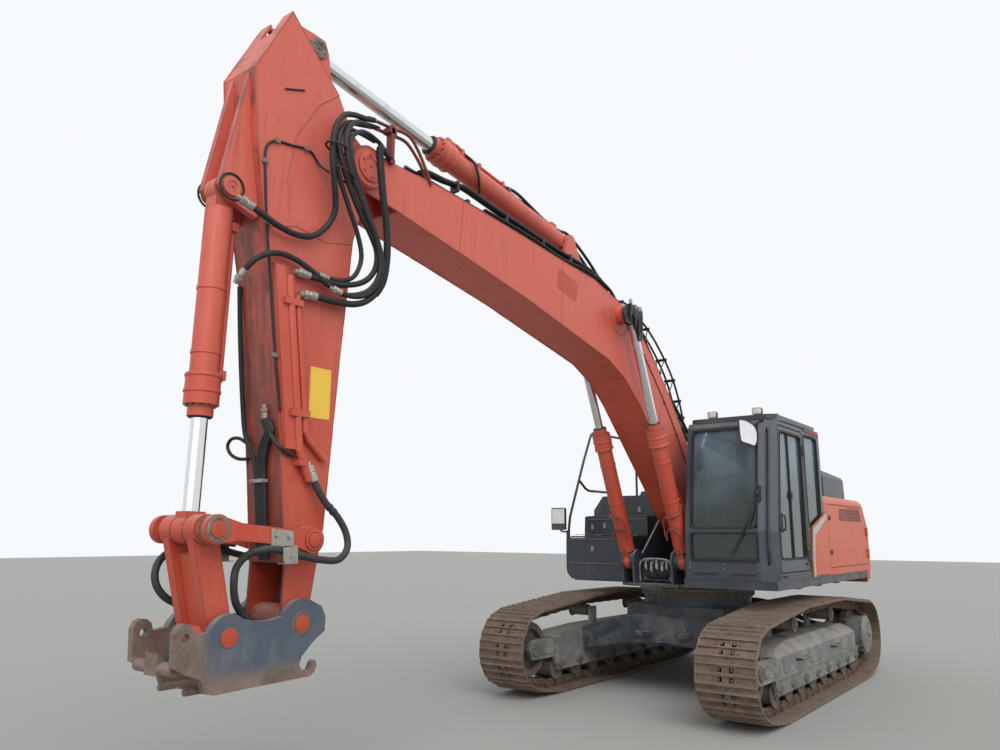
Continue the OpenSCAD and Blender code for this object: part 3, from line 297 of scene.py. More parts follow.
def windowGlass(name):
    # Tinted pane: deep green below, paler blue above as a painted reflection of the sky, a thin uneven film of dust
    p = Paint(name, IOR=1.5, Coat_Weight=0.5, Coat_Roughness=0.02, Alpha=0.62)
    cloudy = p.noise(1.6, 4, 0.55, warp=0.9)
    film = p.step(p.noise(9, 5, 0.6), 0.45, 0.8)
    # Painted sky reflection: the pane turns pale blue higher up
    color = p.blend((0.022, 0.036, 0.030, 1), (0.11, 0.185, 0.235, 1), p.step(p.z + cloudy * 1.1, 2.55, 3.35))
    color = p.blend(color, (0.16, 0.16, 0.15, 1), film * 0.25)
    return p.finish(color, 0.03 + film * 0.08)


def mouldedPlastic(name, base, roughness=0.55, grain=420, dusty=0.5):
    p = Paint(name)
    leather = p.cells(grain, feature="SMOOTH_F1")
    cloudy = p.noise(6, 5, 0.6)
    veil = p.step(p.facingUp, 0.3, 0.95) * p.step(cloudy, 0.35, 0.7) * dusty
    color = p.blend((*base, 1), tuple(min(1, 2.1 * c + 0.01) for c in base), p.step(cloudy, 0.45, 0.7) * 0.5)
    color = p.blend(color, dust, veil * 0.6)
    return p.finish(color, roughness + cloudy * 0.2, None, leather * 0.6 + cloudy * 0.3, 0.0006)


def blackRubber(name, base=(0.012, 0.012, 0.013), dusty=0.35):
    p = Paint(name)
    cloudy = p.noise(11, 5, 0.6)
    fine = p.noise(240, 3, 0.6)
    color = p.blend((*base, 1), (0.085, 0.08, 0.075, 1), p.step(cloudy + p.facingUp * 0.12, 0.48, 0.8) * dusty)
    return p.finish(color, 0.5 + cloudy * 0.3, None, fine * 0.6 + cloudy * 0.3, 0.0008)


def wovenSeat(name, base=(0.022, 0.023, 0.026)):
    p = Paint(name, Sheen_Weight=0.4, Sheen_Roughness=0.4)
    across = p.math("SINE", p.x * 1900 + p.z * 1100)
    along = p.math("SINE", p.y * 1900)
    weave = across * along * 0.5 + 0.5
    cloudy = p.noise(9, 5, 0.6)
    color = p.blend((*base, 1), (0.07, 0.07, 0.075, 1), weave * 0.6 + cloudy * 0.3)
    return p.finish(color, 0.8 + cloudy * 0.15, None, weave + cloudy * 0.3, 0.0006)


def lampGlass(name):
    p = Paint(name, IOR=1.5, Coat_Weight=0.6)
    ribs = p.math("SINE", p.y * 900) * 0.5 + 0.5
    film = p.noise(30, 4)
    color = p.blend((0.72, 0.74, 0.75, 1), (0.42, 0.43, 0.42, 1), ribs * 0.5 + film * 0.4)
    return p.finish(color, 0.12 + film * 0.15, 0.35 + ribs * 0.2, ribs, 0.0012)


orangePaint = coatOfPaint("orangePaint", (0.52, 0.068, 0.034), (0.55, 0.105, 0.060), (0.055, 0.045, 0.042),
    dusty=0.6, paleWithHeight=0.55)
# The arm's forward faces carry a dark film: old grease and painted shade
armPaint = coatOfPaint("armPaint", (0.50, 0.070, 0.036), (0.56, 0.11, 0.065), (0.055, 0.045, 0.042), greaseAndShade=0.75,
    paleWithHeight=0.6)
flankPaint = coatOfPaint("flankPaint", (0.56, 0.090, 0.030), (0.60, 0.12, 0.050), (0.07, 0.05, 0.04), 0.38, 0.8,
    0.5)
freshOrange = coatOfPaint("freshOrange", (0.47, 0.060, 0.026), (0.50, 0.085, 0.040), (0.06, 0.05, 0.045), wear=0.5)
weightPaint = coatOfPaint("weightPaint", (0.48, 0.085, 0.035), (0.52, 0.12, 0.06), (0.10, 0.07, 0.055), 0.5)
darkPaint = coatOfPaint("darkPaint", (0.034, 0.040, 0.053), (0.055, 0.063, 0.080), (0.16, 0.13, 0.11), 0.36, 0.6)
cabPaint = coatOfPaint("cabPaint", (0.040, 0.048, 0.060), (0.060, 0.070, 0.084), (0.10, 0.10, 0.10), 0.30, 0.4, 0.6)
couplerPaint = coatOfPaint("couplerPaint", (0.070, 0.092, 0.125), (0.115, 0.135, 0.16), (0.17, 0.085, 0.05), 0.5,
    1.5, rusty=(7.19, 0.985))
greyPaint = coatOfPaint("greyPaint", (0.135, 0.155, 0.152), (0.20, 0.205, 0.195), (0.15, 0.085, 0.05), 0.55, 1.2,
    1.4)
trackSteel = bareSteel("trackSteel", (0.235, 0.180, 0.140), (0.105, 0.075, 0.055), 0.6, 0.4, 0.4, 0.25)
linkSteel = bareSteel("linkSteel", (0.15, 0.10, 0.07), (0.05, 0.036, 0.028), 0.6, 0.5, 0.5, 0.8)
rollerSteel = bareSteel("rollerSteel", (0.17, 0.155, 0.14), (0.085, 0.075, 0.066), 0.6, 0.3, 0.25, 0.45)
pinSteel = bareSteel("pinSteel", (0.30, 0.27, 0.24), (0.12, 0.095, 0.075), 0.42, 0.7, 0.35, 0.2)
engineIron = bareSteel("engineIron", (0.07, 0.068, 0.065), (0.022, 0.021, 0.02), 0.5, 0.3, 0.2, 0.3)
chromeRod = polishedRod("chromeRod")
paneGlass = windowGlass("paneGlass")
blackPlastic = mouldedPlastic("blackPlastic", (0.018, 0.018, 0.019))
greyPlastic = mouldedPlastic("greyPlastic", (0.075, 0.076, 0.078))
blackTube = coatOfPaint("blackTube", (0.012, 0.012, 0.013), (0.025, 0.025, 0.026), (0.14, 0.12, 0.10), 0.4, 0.5)
hoseRubber = blackRubber("hoseRubber")
sealRubber = blackRubber("sealRubber", (0.009, 0.009, 0.01), 0.2)
seatCloth = wovenSeat("seatCloth")
chromeFitting = bareSteel("chromeFitting", (0.52, 0.51, 0.47), (0.30, 0.28, 0.24), 0.32, 0.85, 0.2, 0.1)
guardRubber = blackRubber("guardRubber", (0.022, 0.024, 0.027), 0.6)
signYellow = coatOfPaint("signYellow", (0.88, 0.55, 0.06), (0.84, 0.54, 0.09), (0.25, 0.18, 0.10), 0.4, 0.25, 0.5)
# Near-white plastic for the mirrors' faces: a painted reflection of the bright sky
mirrorFace = mouldedPlastic("mirrorFace", (0.80, 0.82, 0.84), 0.25, 300, 0.1)
fadedRed = coatOfPaint("fadedRed", (0.20, 0.035, 0.028), (0.26, 0.07, 0.055), (0.06, 0.05, 0.05), 0.5, 0.5)
silverPaint = coatOfPaint("silverPaint", (0.42, 0.44, 0.41), (0.34, 0.37, 0.33), (0.18, 0.15, 0.13), 0.34, 0.5)
# Darker red for the door grilles' blades: painted shade of the louvre area
grillePaint = coatOfPaint("grillePaint", (0.24, 0.040, 0.024), (0.28, 0.06, 0.035), (0.07, 0.05, 0.045), 0.5, 0.5)
lensGlass = lampGlass("lensGlass")
redLens = coatOfPaint("redLens", (0.42, 0.02, 0.015), (0.46, 0.04, 0.03), (0.3, 0.1, 0.08), 0.15, 0.1, 0.6)
brassSteel = bareSteel("brassSteel", (0.42, 0.27, 0.13), (0.16, 0.10, 0.06), 0.5, 0.5, 0.4, 0.3)
treadSteel = bareSteel("treadSteel", (0.085, 0.085, 0.088), (0.04, 0.04, 0.042), 0.6, 0.4, 0.3, 0.5)
print("materials made:", len(bpy.data.materials))

finishOfNode = {
    "orangePaint": "boom arm_pipes boom_barrel_left boom_barrel_right arm_barrel coupler_barrel guide_links"
    " power_link engine_cover lifting_eyes",
    "armPaint": "arm",
    "flankPaint": "left_housing right_housing left_service_door right_service_door",
    "weightPaint": "counterweight",
    "darkPaint": "car_body revolving_frame engine_hood fuel_tank tool_box tool_box_lid tow_eyes",
    "cabPaint": "cab_shell cab_door",
    "couplerPaint": "coupler",
    "greyPaint": "side_frames travel_motors",
    "trackSteel": "track_left track_right",
    "rollerSteel": "idlers sprockets track_rollers slew_ring exhaust_pipe",
    "chromeRod": "boom_rod_left boom_rod_right arm_rod coupler_rod",
    "paneGlass": "cab_glass cab_door_glass",
    "blackPlastic": "cab_controls mirrors",
    "seatCloth": "operator_seat",
    "blackTube": "handrails boom_pipes",
    "engineIron": "engine_block",
    "lensGlass": "work_lamps",
}
for finish, names in finishOfNode.items():
    for name in names.split():
        mesh = nodes[name].data
        mesh.materials.clear()
        mesh.materials.append(bpy.data.materials[finish])
print("CAD nodes finished:", sum(len(v.split()) for v in finishOfNode.values()))

slotFinishes = {
    "orange_paint": "orangePaint freshOrange fadedRed silverPaint grillePaint signYellow",
    "dark_paint": "darkPaint cabPaint",
    "grey_paint": "greyPaint",
    "weight_iron": "weightPaint",
    "track_steel": "trackSteel linkSteel",
    "rusty_steel": "rollerSteel pinSteel brassSteel treadSteel chromeFitting",
    "chrome_rod": "mirrorFace",
    "black_steel": "blackTube hoseRubber guardRubber",
    "black_plastic": "blackPlastic greyPlastic sealRubber",
    "lamp_body": "lensGlass redLens",
    "seat_fabric": "seatCloth",
}
usualSlot = {finish: slot for slot, names in slotFinishes.items() for finish in names.split()}

# Mesh making: a Shape gathers corners and faces, and make() turns it into a piece that rides on a body


def sideways(u, v, w):
    return (u, w, v)  # an outline in the XZ plane, given thickness along Y


def frontways(u, v, w):
    return (w, u, v)  # an outline in the YZ plane, given thickness along X


def flatways(u, v, w):
    return (u, v, w)  # an outline in the XY plane, given thickness along Z


class Shape:
    def __init__(self):
        self.points = []
        self.faces = []

    def add(self, points, faces):
        base = len(self.points)
        self.points += [Vector(p) for p in points]
        self.faces += [tuple(base + i for i in face) for face in faces]

    def rings(self, rings, closed=True):
        n = len(rings[0])
        faces = [
            (i * n + k, i * n + (k + 1) % n, (i + 1) * n + (k + 1) % n, (i + 1) * n + k)
            for i in range(len(rings) - 1)
            for k in range(n)
        ]
        if closed:
            faces += [tuple(reversed(range(n))), tuple(range((len(rings) - 1) * n, len(rings) * n))]
        self.add([p for ring in rings for p in ring], faces)

    def block(self, low, high, turn=None, place=(0, 0, 0)):
        x0, y0, z0 = low
        x1, y1, z1 = high
        rings = [[(x0, y0, z), (x1, y0, z), (x1, y1, z), (x0, y1, z)] for z in (z0, z1)]
        turn = turn or Matrix.Identity(3)
        self.rings([[turn @ Vector(p) + Vector(place) for p in ring] for ring in rings])

    def prism(self, outline, back, front, way=sideways):
        self.rings([[way(u, v, w) for u, v in outline] for w in (back, front)])

    def turned(self, centre, axis, profile, sides=24, phase=0.0, hollow=False):
        # Profile columns: distance along the axis, radius; a hollow one closes on itself as a hoop
        axis = Vector(axis).normalized()
        side = axis.orthogonal().normalized()
        other = axis.cross(side)
        angles = [phase + 2 * math.pi * k / sides for k in range(sides)]
        spokes = [math.cos(a) * side + math.sin(a) * other for a in angles]
        profile = [*profile, profile[0]] if hollow else profile
        self.rings([[Vector(centre) + axis * d + r * s for s in spokes] for d, r in profile], not hollow)

    def bolt(self, centre, axis, size=0.012):
        self.turned(centre, axis, [(-0.002, size * 1.25), (size * 0.25, size * 1.25)], 12)
        self.turned(centre, axis, [(0, size), (size * 0.95, size), (size * 1.05, size * 0.86)], 6)

    def boltGrid(self, xs, ys, zs, axis, size=0.012):
        for centre in product(xs, ys, zs):
            self.bolt(centre, axis, size)

    def circleOfBolts(self, centre, axis, radius, count, size=0.012, phase=0.0):
        axis = Vector(axis).normalized()
        side = axis.orthogonal().normalized()
        other = axis.cross(side)
        for k in range(count):
            a = phase + 2 * math.pi * k / count
            self.bolt(Vector(centre) + radius * (math.cos(a) * side + math.sin(a) * other), axis, size)

    def tube(self, path, radius, sides=10):
        path = [Vector(p) for p in path]
        radii = radius if isinstance(radius, list) else [radius] * len(path)
        side = (path[1] - path[0]).orthogonal().normalized()
        rings = []
        for i, point in enumerate(path):
            ahead = (path[min(i + 1, len(path) - 1)] - path[max(i - 1, 0)]).normalized()
            side = (side - ahead * side.dot(ahead)).normalized()
            other = ahead.cross(side)
            angles = [2 * math.pi * k / sides for k in range(sides)]
            rings.append([point + radii[i] * (math.cos(a) * side + math.sin(a) * other) for a in angles])
        self.rings(rings)

    def strip(self, outline, width, back, front, way=sideways):
        # A closed band that runs inside an outline
        inner = inset(outline, width)
        n = len(outline)
        rings = [[way(u, v, back) for u, v in outline], [way(u, v, front) for u, v in outline]]
        rings += [[way(u, v, front) for u, v in inner], [way(u, v, back) for u, v in inner], rings[0]]
        faces = [
            (i * n + k, i * n + (k + 1) % n, (i + 1) * n + (k + 1) % n, (i + 1) * n + k)
            for i in range(4)
            for k in range(n)
        ]
        self.add([p for ring in rings for p in ring], faces)

    def mirrored(self):
        copy = Shape()
        copy.add([(p.x, -p.y, p.z) for p in self.points], [tuple(reversed(f)) for f in self.faces])
        return copy

    def join(self, other):
        self.add(other.points, other.faces)


def inset(outline, width):
    # Outline moved towards its inside by a width; a negative width grows it
    n = len(outline)
    area = sum(outline[i][0] * outline[(i + 1) % n][1] - outline[(i + 1) % n][0] * outline[i][1] for i in range(n))
    turn = 1 if area > 0 else -1
    moved = []
    for i in range(n):
        before, here, after = (Vector(outline[(i + k) % n]).to_2d() for k in (-1, 0, 1))
        first, second = (here - before).normalized(), (after - here).normalized()
        a, b = Vector((-first.y, first.x)) * turn, Vector((-second.y, second.x)) * turn
        middle = (a + b).normalized()
        moved.append(tuple(here + middle * width / max(0.3, middle.dot(a))))
    return moved


def rounded(outline, radius, steps=4):
    # Outline whose corners are drawn as short arcs
    n = len(outline)
    made = []
    for i in range(n):
        before, here, after = (Vector(outline[(i + k) % n]).to_2d() for k in (-1, 0, 1))
        back, ahead = before - here, after - here
        reach = min(radius, back.length * 0.45, ahead.length * 0.45)
        start, end = here + back.normalized() * reach, here + ahead.normalized() * reach
        for k in range(steps + 1):
            t = k / steps
            made.append(tuple(start * (1 - t) ** 2 + here * (2 * t * (1 - t)) + end * t * t))
    return made


def panel(x0, y0, x1, y1, radius):
    return rounded([(x0, y0), (x1, y0), (x1, y1), (x0, y1)], radius)


def bend(points, steps=6):
    # Smooth path through all the points
    points = [Vector(p) for p in points]
    points = [2 * points[0] - points[1], *points, 2 * points[-1] - points[-2]]
    path = []
    for i in range(1, len(points) - 2):
        a, b, c, d = points[i - 1 : i + 3]
        for k in range(steps):
            t = k / steps
            path.append(
                0.5 * (2 * b + (c - a) * t + (2 * a - 5 * b + 4 * c - d) * t * t + (3 * b - a - 3 * c + d) * t**3)
            )
    return [*path, points[-2]]


def make(name, shape, finish, body, slot=None, bevel=0.0, sharp=32):
    slot = slot or usualSlot[finish.name]
    mesh = bpy.data.meshes.new(name)
    mesh.from_pydata([tuple(p) for p in shape.points], [], shape.faces)
    work = bmesh.new()
    work.from_mesh(mesh)
    bmesh.ops.recalc_face_normals(work, faces=work.faces)
    work.to_mesh(mesh)
    work.free()
    mesh.shade_smooth()
    mesh.set_sharp_from_angle(angle=math.radians(sharp))
    mesh.materials.append(finish)
    piece = bpy.data.objects.new(name, mesh)
    bpy.context.collection.objects.link(piece)
    if bevel:
        edge = piece.modifiers.new("edge", "BEVEL")
        edge.width = bevel
        edge.segments = 2
        edge.limit_method = "ANGLE"
        edge.angle_limit = math.radians(40)
        edge.harden_normals = True
    if body:
        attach(piece, body)
    return piece


def polar(radius, angle):
    return Vector((radius * math.cos(angle), radius * math.sin(angle)))


def circle(x, y, z, radius, sides):
    # Closed path in the XZ plane
    angles = [2 * math.pi * k / sides for k in range(sides + 1)]
    return [(x + radius * math.cos(a), y, z + radius * math.sin(a)) for a in angles]


def both(shape):
    whole = Shape()
    whole.join(shape)
    whole.join(shape.mirrored())
    return whole


# Tracks: the chain's pin line runs round idler, sprocket and upper rollers

trackSet = {
    "tumblerDistance": 4.05,
    "tumblerHeight": 0.508,
    "tumblerRadius": 0.366,
    "gauge": 2.59,
    "carrier": (0.72, 0.857, 0.13),
    "contact": (1.65, 0.248, 0.165),
    "shoes": 48,
    "shoeWidth": 0.6,
    "plate": 0.012,
    "grouser": 0.024,
    "linkUp": 0.047,
    "rail": 0.09,
    "hole": (0.034, 0.082),  # inner and outer edge of the mud holes, from the track's middle
    "lip": 0.014,
}


def pinLine(s):
    half = s["tumblerDistance"] / 2
    cx, cz, cr = s["carrier"]
    gx, gz, gr = s["contact"]
    tumbler = (s["tumblerHeight"], s["tumblerRadius"])
    circles = [(gx, gz, gr), (half, *tumbler), (cx, cz, cr), (-cx, cz, cr), (-half, *tumbler), (-gx, gz, gr)]
    runs = []
    for i, (x, z, r) in enumerate(circles):
        nx, nz, nr = circles[(i + 1) % len(circles)]
        gap = math.hypot(nx - x, nz - z)
        normal = math.atan2(nz - z, nx - x) - math.acos((r - nr) / gap)
        runs.append((normal, math.sqrt(gap**2 - (r - nr) ** 2)))
    spans = []
    for i, (x, z, r) in enumerate(circles):
        sweep = (runs[i][0] - runs[i - 1][0]) % (2 * math.pi)
        spans.append((Vector((x, z)), r, runs[i][0], sweep, r * sweep, runs[i][1]))
    pitch = sum(span[4] + span[5] for span in spans) / s["shoes"]

    def at(distance):
        for centre, r, normal, sweep, arc, run in spans:
            if distance <= arc:
                return centre + polar(r, normal - sweep + distance / r)
            if distance <= arc + run:
                return centre + polar(r, normal) + polar(distance - arc, normal + math.pi / 2)
            distance -= arc + run
        return spans[0][0] + polar(spans[0][1], spans[0][2] - spans[0][3])

    return [at(k * pitch) for k in range(s["shoes"])]


def makeTrack(s, name, centre):
    shoes, chain, bolts = Shape(), Shape(), Shape()
    pins = pinLine(s)
    half, plate, up = s["shoeWidth"] / 2, s["plate"], s["linkUp"]
    tall = plate + s["grouser"]
    # Columns: share of the pitch, height over the plate's inner face
    bars = [(at + d, h) for at in (0.08, 0.5, 0.92) for d, h in ((-0.055, plate), (-0.02, tall), (0.02, tall),
        (0.055, plate))]
    bars = [(-0.125, -0.003), (0.012, plate * 0.7), *bars[:-1],
        (0.995, plate)]  # a lip reaches under the shoe before
    for k, start in enumerate(pins):
        end = pins[(k + 1) % len(pins)]
        along = end - start
        out = Vector((along.y, -along.x)).normalized()

        def place(u, v, w):
            p = start + along * u + out * (up + v)
            return (p.x, centre + w, p.y)

        def hub(u, v, w):
            p = start + along * u + out * v
            return (p.x, centre + w, p.y)

        def cross(low, high, y0, y1):
            top = [(u, v) for u, v in bars if low <= u <= high]
            if low > 0.1:
                top = [(low, plate), *top]
            if high < 0.9:
                top = [*top, (high, plate)]
            under = [(0.02, 0), (-0.125, -0.009)] if low < 0 else [(low, 0)]
            shoes.prism([*top, (top[-1][0], 0), *under], y0, y1, place)

        near, far = s["hole"]
        lip = s["lip"]
        ends = [-half + lip, -far, -near, near, far, half - lip]
        for y0, y1 in zip(ends, ends[1:]):
            holed = sorted((abs(y0), abs(y1))) == [near, far]
            for low, high in ((-0.2, 0.2), (0.4, 0.6), (0.8, 1.0)) if holed else ((-0.2, 1.0),):
                cross(low, high, y0, y1)
        for y in (-half, half - lip):  # ends of the plate, lower than its bars
            low = [(-0.125, -0.003), (0.02, plate), (0.08, plate + 0.01), (0.92, plate + 0.01), (0.99, plate)]
            shoes.prism([*low, (0.99, 0), (0.02, 0), (-0.125, -0.009)], y, y + lip, place)
        for y in (-s["rail"], s["rail"]):
            for u in (0.29, 0.71):
                for w in (-0.028, 0.028):
                    head = place(u, plate - 0.001, y + w)
                    bolts.turned(head, (out.x, 0, out.y), [(0, 0.0125), (0.011, 0.0125), (0.013, 0.010)], 6)
            side = 1 if y > 0 else -1
            eye = [(0.28 * math.cos(a), 0.050 * math.sin(a)) for a in (1.9, 2.5, 3.1, 3.8, 4.4)]
            chain.prism([*eye, (0.3, -0.055), (0.62, -0.054), (0.62, 0.046), (0.1, 0.046)], y - side * 0.022,
                y + side * 0.001, hub)
            eye = [(1.0 + 0.28 * math.cos(a), 0.050 * math.sin(a)) for a in (-1.2, -0.6, 0, 0.6, 1.2)]
            chain.prism([(0.38, -0.055), (0.7, -0.055), *eye, (0.9, 0.046), (0.38, 0.046)], y - side * 0.001,
                y + side * 0.022, hub)
            chain.turned(hub(0, 0, y), (0, side, 0), [(0.015, 0.021), (0.027, 0.021), (0.031, 0.016)], 12)
        chain.turned(hub(0, 0, -0.07), (0, 1, 0), [(0, 0.031), (0.14, 0.031)], 14)
    chain.join(bolts)
    shoePiece = make(name + "Shoes", shoes, trackSteel, "undercarriage")
    make(name + "Chain", chain, linkSteel, "undercarriage")
    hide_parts("track_left" if centre > 0 else "track_right")


for name, side in (("leftTrack", 1), ("rightTrack", -1)):
    makeTrack(trackSet, name, side * trackSet["gauge"] / 2)
print("tracks made")

# Undercarriage: roller caps, idler yokes, final drives, covers and bolts

undercarriageSet = {
    "trackCentre": trackSet["gauge"] / 2,
    "plateFace": 0.19,
    "rollerX": [-1.5 + 3.0 * k / 7 for k in range(8)],
    "rollerZ": trackSet["contact"][1],
    "tumblerX": trackSet["tumblerDistance"] / 2,
    "tumblerZ": trackSet["tumblerHeight"],
    "carrierX": trackSet["carrier"][0],
    "carrierZ": trackSet["carrier"][1],
}


def makeUndercarriage(s):
    steel, grey, dark = Shape(), Shape(), Shape()
    for side in (1, -1):
        centre = side * s["trackCentre"]
        for face in (1, -1):
            y = centre + face * s["plateFace"]
            axis = (0, face, 0)
            for x in s["rollerX"]:
                steel.turned((x, y, s["rollerZ"] + 0.05), axis, [(-0.004, 0.052), (0.010, 0.052), (0.016, 0.040)],
                    20)
                for dx in (-0.075, 0.075):
                    steel.bolt((x + dx, y, s["rollerZ"] + 0.055), axis, 0.014)
            # Slide of the idler with its grease plate
            grey.prism([(1.62, 0.44), (1.9, 0.44), (1.93, 0.48), (1.93, 0.55), (1.9, 0.585), (1.62, 0.585)], y,
                y + face * 0.012)
            steel.boltGrid((1.65, 1.88), [y + face * 0.012], (0.465, 0.56), axis, 0.011)
            steel.turned((s["tumblerX"], y, s["tumblerZ"]), axis, [(0, 0.075), (0.014, 0.075), (0.02, 0.066)], 28)
            steel.circleOfBolts((s["tumblerX"], y + face * 0.014, s["tumblerZ"]), axis, 0.052, 6, 0.008)
        y = centre + side * s["plateFace"]
        axis = (0, side, 0)
        # Covers and long stiffener on the outer face, two step bars
        for x0, x1 in ((-1.2, -0.82), (0.1, 0.48), (0.98, 1.36)):
            grey.prism(panel(x0, 0.43, x1, 0.565, 0.02), y, y + side * 0.006)
            steel.boltGrid((x0 + 0.025, x1 - 0.025), [y + side * 0.006], (0.45, 0.545), axis, 0.008)
        grey.prism([(-1.62, 0.388), (1.66, 0.388), (1.66, 0.402), (-1.62, 0.402)], y, y + side * 0.014)
        for x in (-0.52, 0.78):
            out = y + side * 0.055
            dark.tube([(x - 0.15, y, 0.52), (x - 0.15, out, 0.52), (x + 0.15, out, 0.52), (x + 0.15, y, 0.52)],
                0.013)
        # Final drive: dished cover and its bolts
        x, z = -s["tumblerX"], s["tumblerZ"]
        drive = centre + side * 0.24
        grey.turned((x, drive, z), axis, [(-0.05, 0.245), (-0.02, 0.245), (-0.012, 0.225), (0.0, 0.19),
            (0.004, 0.1)], 40)
        steel.circleOfBolts((x, drive - side * 0.04, z), axis, 0.264, 20, 0.011)
        steel.circleOfBolts((x, drive + side * 0.002, z), axis, 0.150, 10, 0.009)
        steel.turned((x, drive, z), axis, [(0, 0.035), (0.012, 0.035), (0.016, 0.026)], 6)
        for carrier in (-s["carrierX"], s["carrierX"]):
            inner = centre + side * 0.136
            steel.turned((carrier, inner, s["carrierZ"]), axis, [(0, 0.044), (0.01, 0.044), (0.014, 0.034)], 20)
    make("rollerCaps", steel, rollerSteel, "undercarriage")
    make("frameCovers", grey, greyPaint, "undercarriage", bevel=0.002)
    make("stepBars", dark, blackTube, "undercarriage")


makeUndercarriage(undercarriageSet)

bodySet = {"ringRadius": 0.7, "ringZ": 1.085, "boltCount": 36, "beamEnd": 1.105, "frontX": 1.0, "hoseRadius": 0.017}


def makeBody(s):
    steel, hoses, plates = Shape(), Shape(), Shape()
    for k in range(s["boltCount"]):
        a = 2 * math.pi * k / s["boltCount"]
        place = polar(s["ringRadius"] - 0.03, a)
        steel.bolt((place.x, place.y, s["ringZ"] - 0.012), (0, 0, -1), 0.012)
    steel.turned((0, 0, s["ringZ"] + 0.05), (0, 0, 1), [(0, 0.712), (0.012, 0.716), (0.03, 0.712)], 72)
    for side in (1, -1):
        for end in (1, -1):
            # Flange with its bolts where a beam meets the side frame
            y = side * (s["beamEnd"] - 0.006)
            x0, x1 = sorted((end * 0.62, end * 0.98))
            plates.block((x0, min(y, y - side * 0.02), 0.44), (x1, max(y, y - side * 0.02), 0.66))
            across = (x0 + 0.04, (x0 + x1) / 2, x1 - 0.04)
            steel.boltGrid(across, [y - side * 0.02], (0.47, 0.63), (0, -side, 0), 0.013)
        # Drive hoses from the swivel over the body to each final drive
        for k in range(3):
            dy, dz = 0.05 * k, 0.012 * k
            hoses.tube(bend([(-0.25 - 0.05 * k, side * (0.3 + dy), 0.972), (-0.5, side * (0.42 + dy), 0.985 + dz),
                (-0.78, side * (0.62 + dy * 0.6), 0.93 + dz), (-1.05, side * (0.86 + dy * 0.3), 0.78 + dz),
                (-1.35, side * (1.0 + dy * 0.2), 0.67 + dz), (-1.66, side * (1.075 + dy * 0.2),
                0.62 + dz)]), s["hoseRadius"])
        plates.prism(panel(-0.35, 0.62, 0.35, 0.86, 0.03), side * 0.62, side * 0.628)
    for end in (1, -1):
        plates.prism(panel(-0.3, 0.6, 0.3, 0.76, 0.03), end * s["frontX"], end * (s["frontX"] + 0.007), frontways)
        steel.boltGrid([end * (s["frontX"] + 0.007)], (-0.27, 0.27), (0.63, 0.73), (end, 0, 0), 0.011)
    make("ringBolts", steel, pinSteel, "undercarriage")
    make("driveHoses", hoses, hoseRubber, "undercarriage")
    make("bodyPlates", plates, darkPaint, "undercarriage", bevel=0.002)


makeBody(bodySet)
print("undercarriage dressed")

# Cab: rubber seals, glazing edges, wiper, mirror, handle, lamps, trim

cabSet = {
    "front": 1.39,
    "bend": 1.8503,
    "top": 3.12,
    "lean": 0.21,
    "seal": 0.024,
}


def cabFront(z, s=cabSet):
    return s["front"] - s["lean"] * max(0, z - s["bend"]) / (s["top"] - s["bend"])


def onFront(u, v, w):
    return (cabFront(v) + w, u, v)


def makeSeals(s):
    seals = Shape()
    seal = s["seal"]
    # Upper and lower front, rear, inner side, quarter light
    for corners, radius, back, front, way in (
        ((0.545, 1.87, 1.305, 2.985), 0.09, -0.03, 0.005, onFront),
        ((0.545, 1.52, 1.305, 1.83), 0.05, -0.03, 0.005, onFront),
        ((0.57, 1.97, 1.417, 2.985), 0.09, -0.465, -0.435, frontways),
        ((-0.33, 1.85, 0.94, 2.985), 0.09, 0.485, 0.515, sideways),
        ((-0.35, 1.89, 0.195, 2.985), 0.08, 1.472, 1.5015, sideways),
    ):
        seals.strip(inset(panel(*corners, radius), -0.006), seal, back, front, way)
    hatch = panel(0.06, 0.63, 0.84, 1.357, 0.06)
    seals.strip(inset(hatch, -0.01), 0.03, 3.04, 3.126, flatways)
    make("windowSeals", seals, sealRubber, "upper")
    door = Shape()
    pane = rounded([(0.31, 1.545), (1.235, 1.545), (1.235, 1.85), (1.054, 2.945), (0.31, 2.945)], 0.06)
    door.strip(inset(pane, -0.006), seal, 1.466, 1.5015)
    edge = rounded([(0.25, 1.41), (1.28, 1.41), (1.28, 1.85), (1.098, 3.0), (0.25, 3.0)], 0.03)
    door.strip(inset(edge, 0.001), 0.009, 1.494, 1.500)
    # Sliding pane's bar and its catch
    door.block((0.75, 1.470, 1.56), (0.776, 1.490, 2.93))
    door.block((0.735, 1.488, 2.2), (0.79, 1.500, 2.27))
    make("doorSeals", door, sealRubber, "cab_door")


makeSeals(cabSet)

handleSet = {"grip": [(1.17, 1.497, 1.86), (1.17, 1.535, 1.87), (1.17, 1.535, 2.0), (1.17, 1.497, 2.01)],
    "radius": 0.009}


def makeDoorHandle(s):
    shape = Shape()
    shape.prism(rounded([(1.135, 1.83), (1.262, 1.83), (1.255, 2.04), (1.135, 2.04)], 0.03), 1.497, 1.503)
    shape.tube(bend(s["grip"], 4), s["radius"])
    shape.turned((1.215, 1.503, 1.885), (0, 1, 0), [(0, 0.014), (0.004, 0.014), (0.006, 0.010)], 20)
    # Rest that holds the open door
    shape.block((0.335, 1.497, 1.47), (0.375, 1.512, 1.50))
    make("doorHandle", shape, blackPlastic, "cab_door", bevel=0.002)


makeDoorHandle(handleSet)

wiperSet = {
    "pivot": (1.30, 2.24),  # Y and Z on the front face
    "blade": [(1.255, 2.06), (1.20, 1.90), (1.02, 1.60)],
}


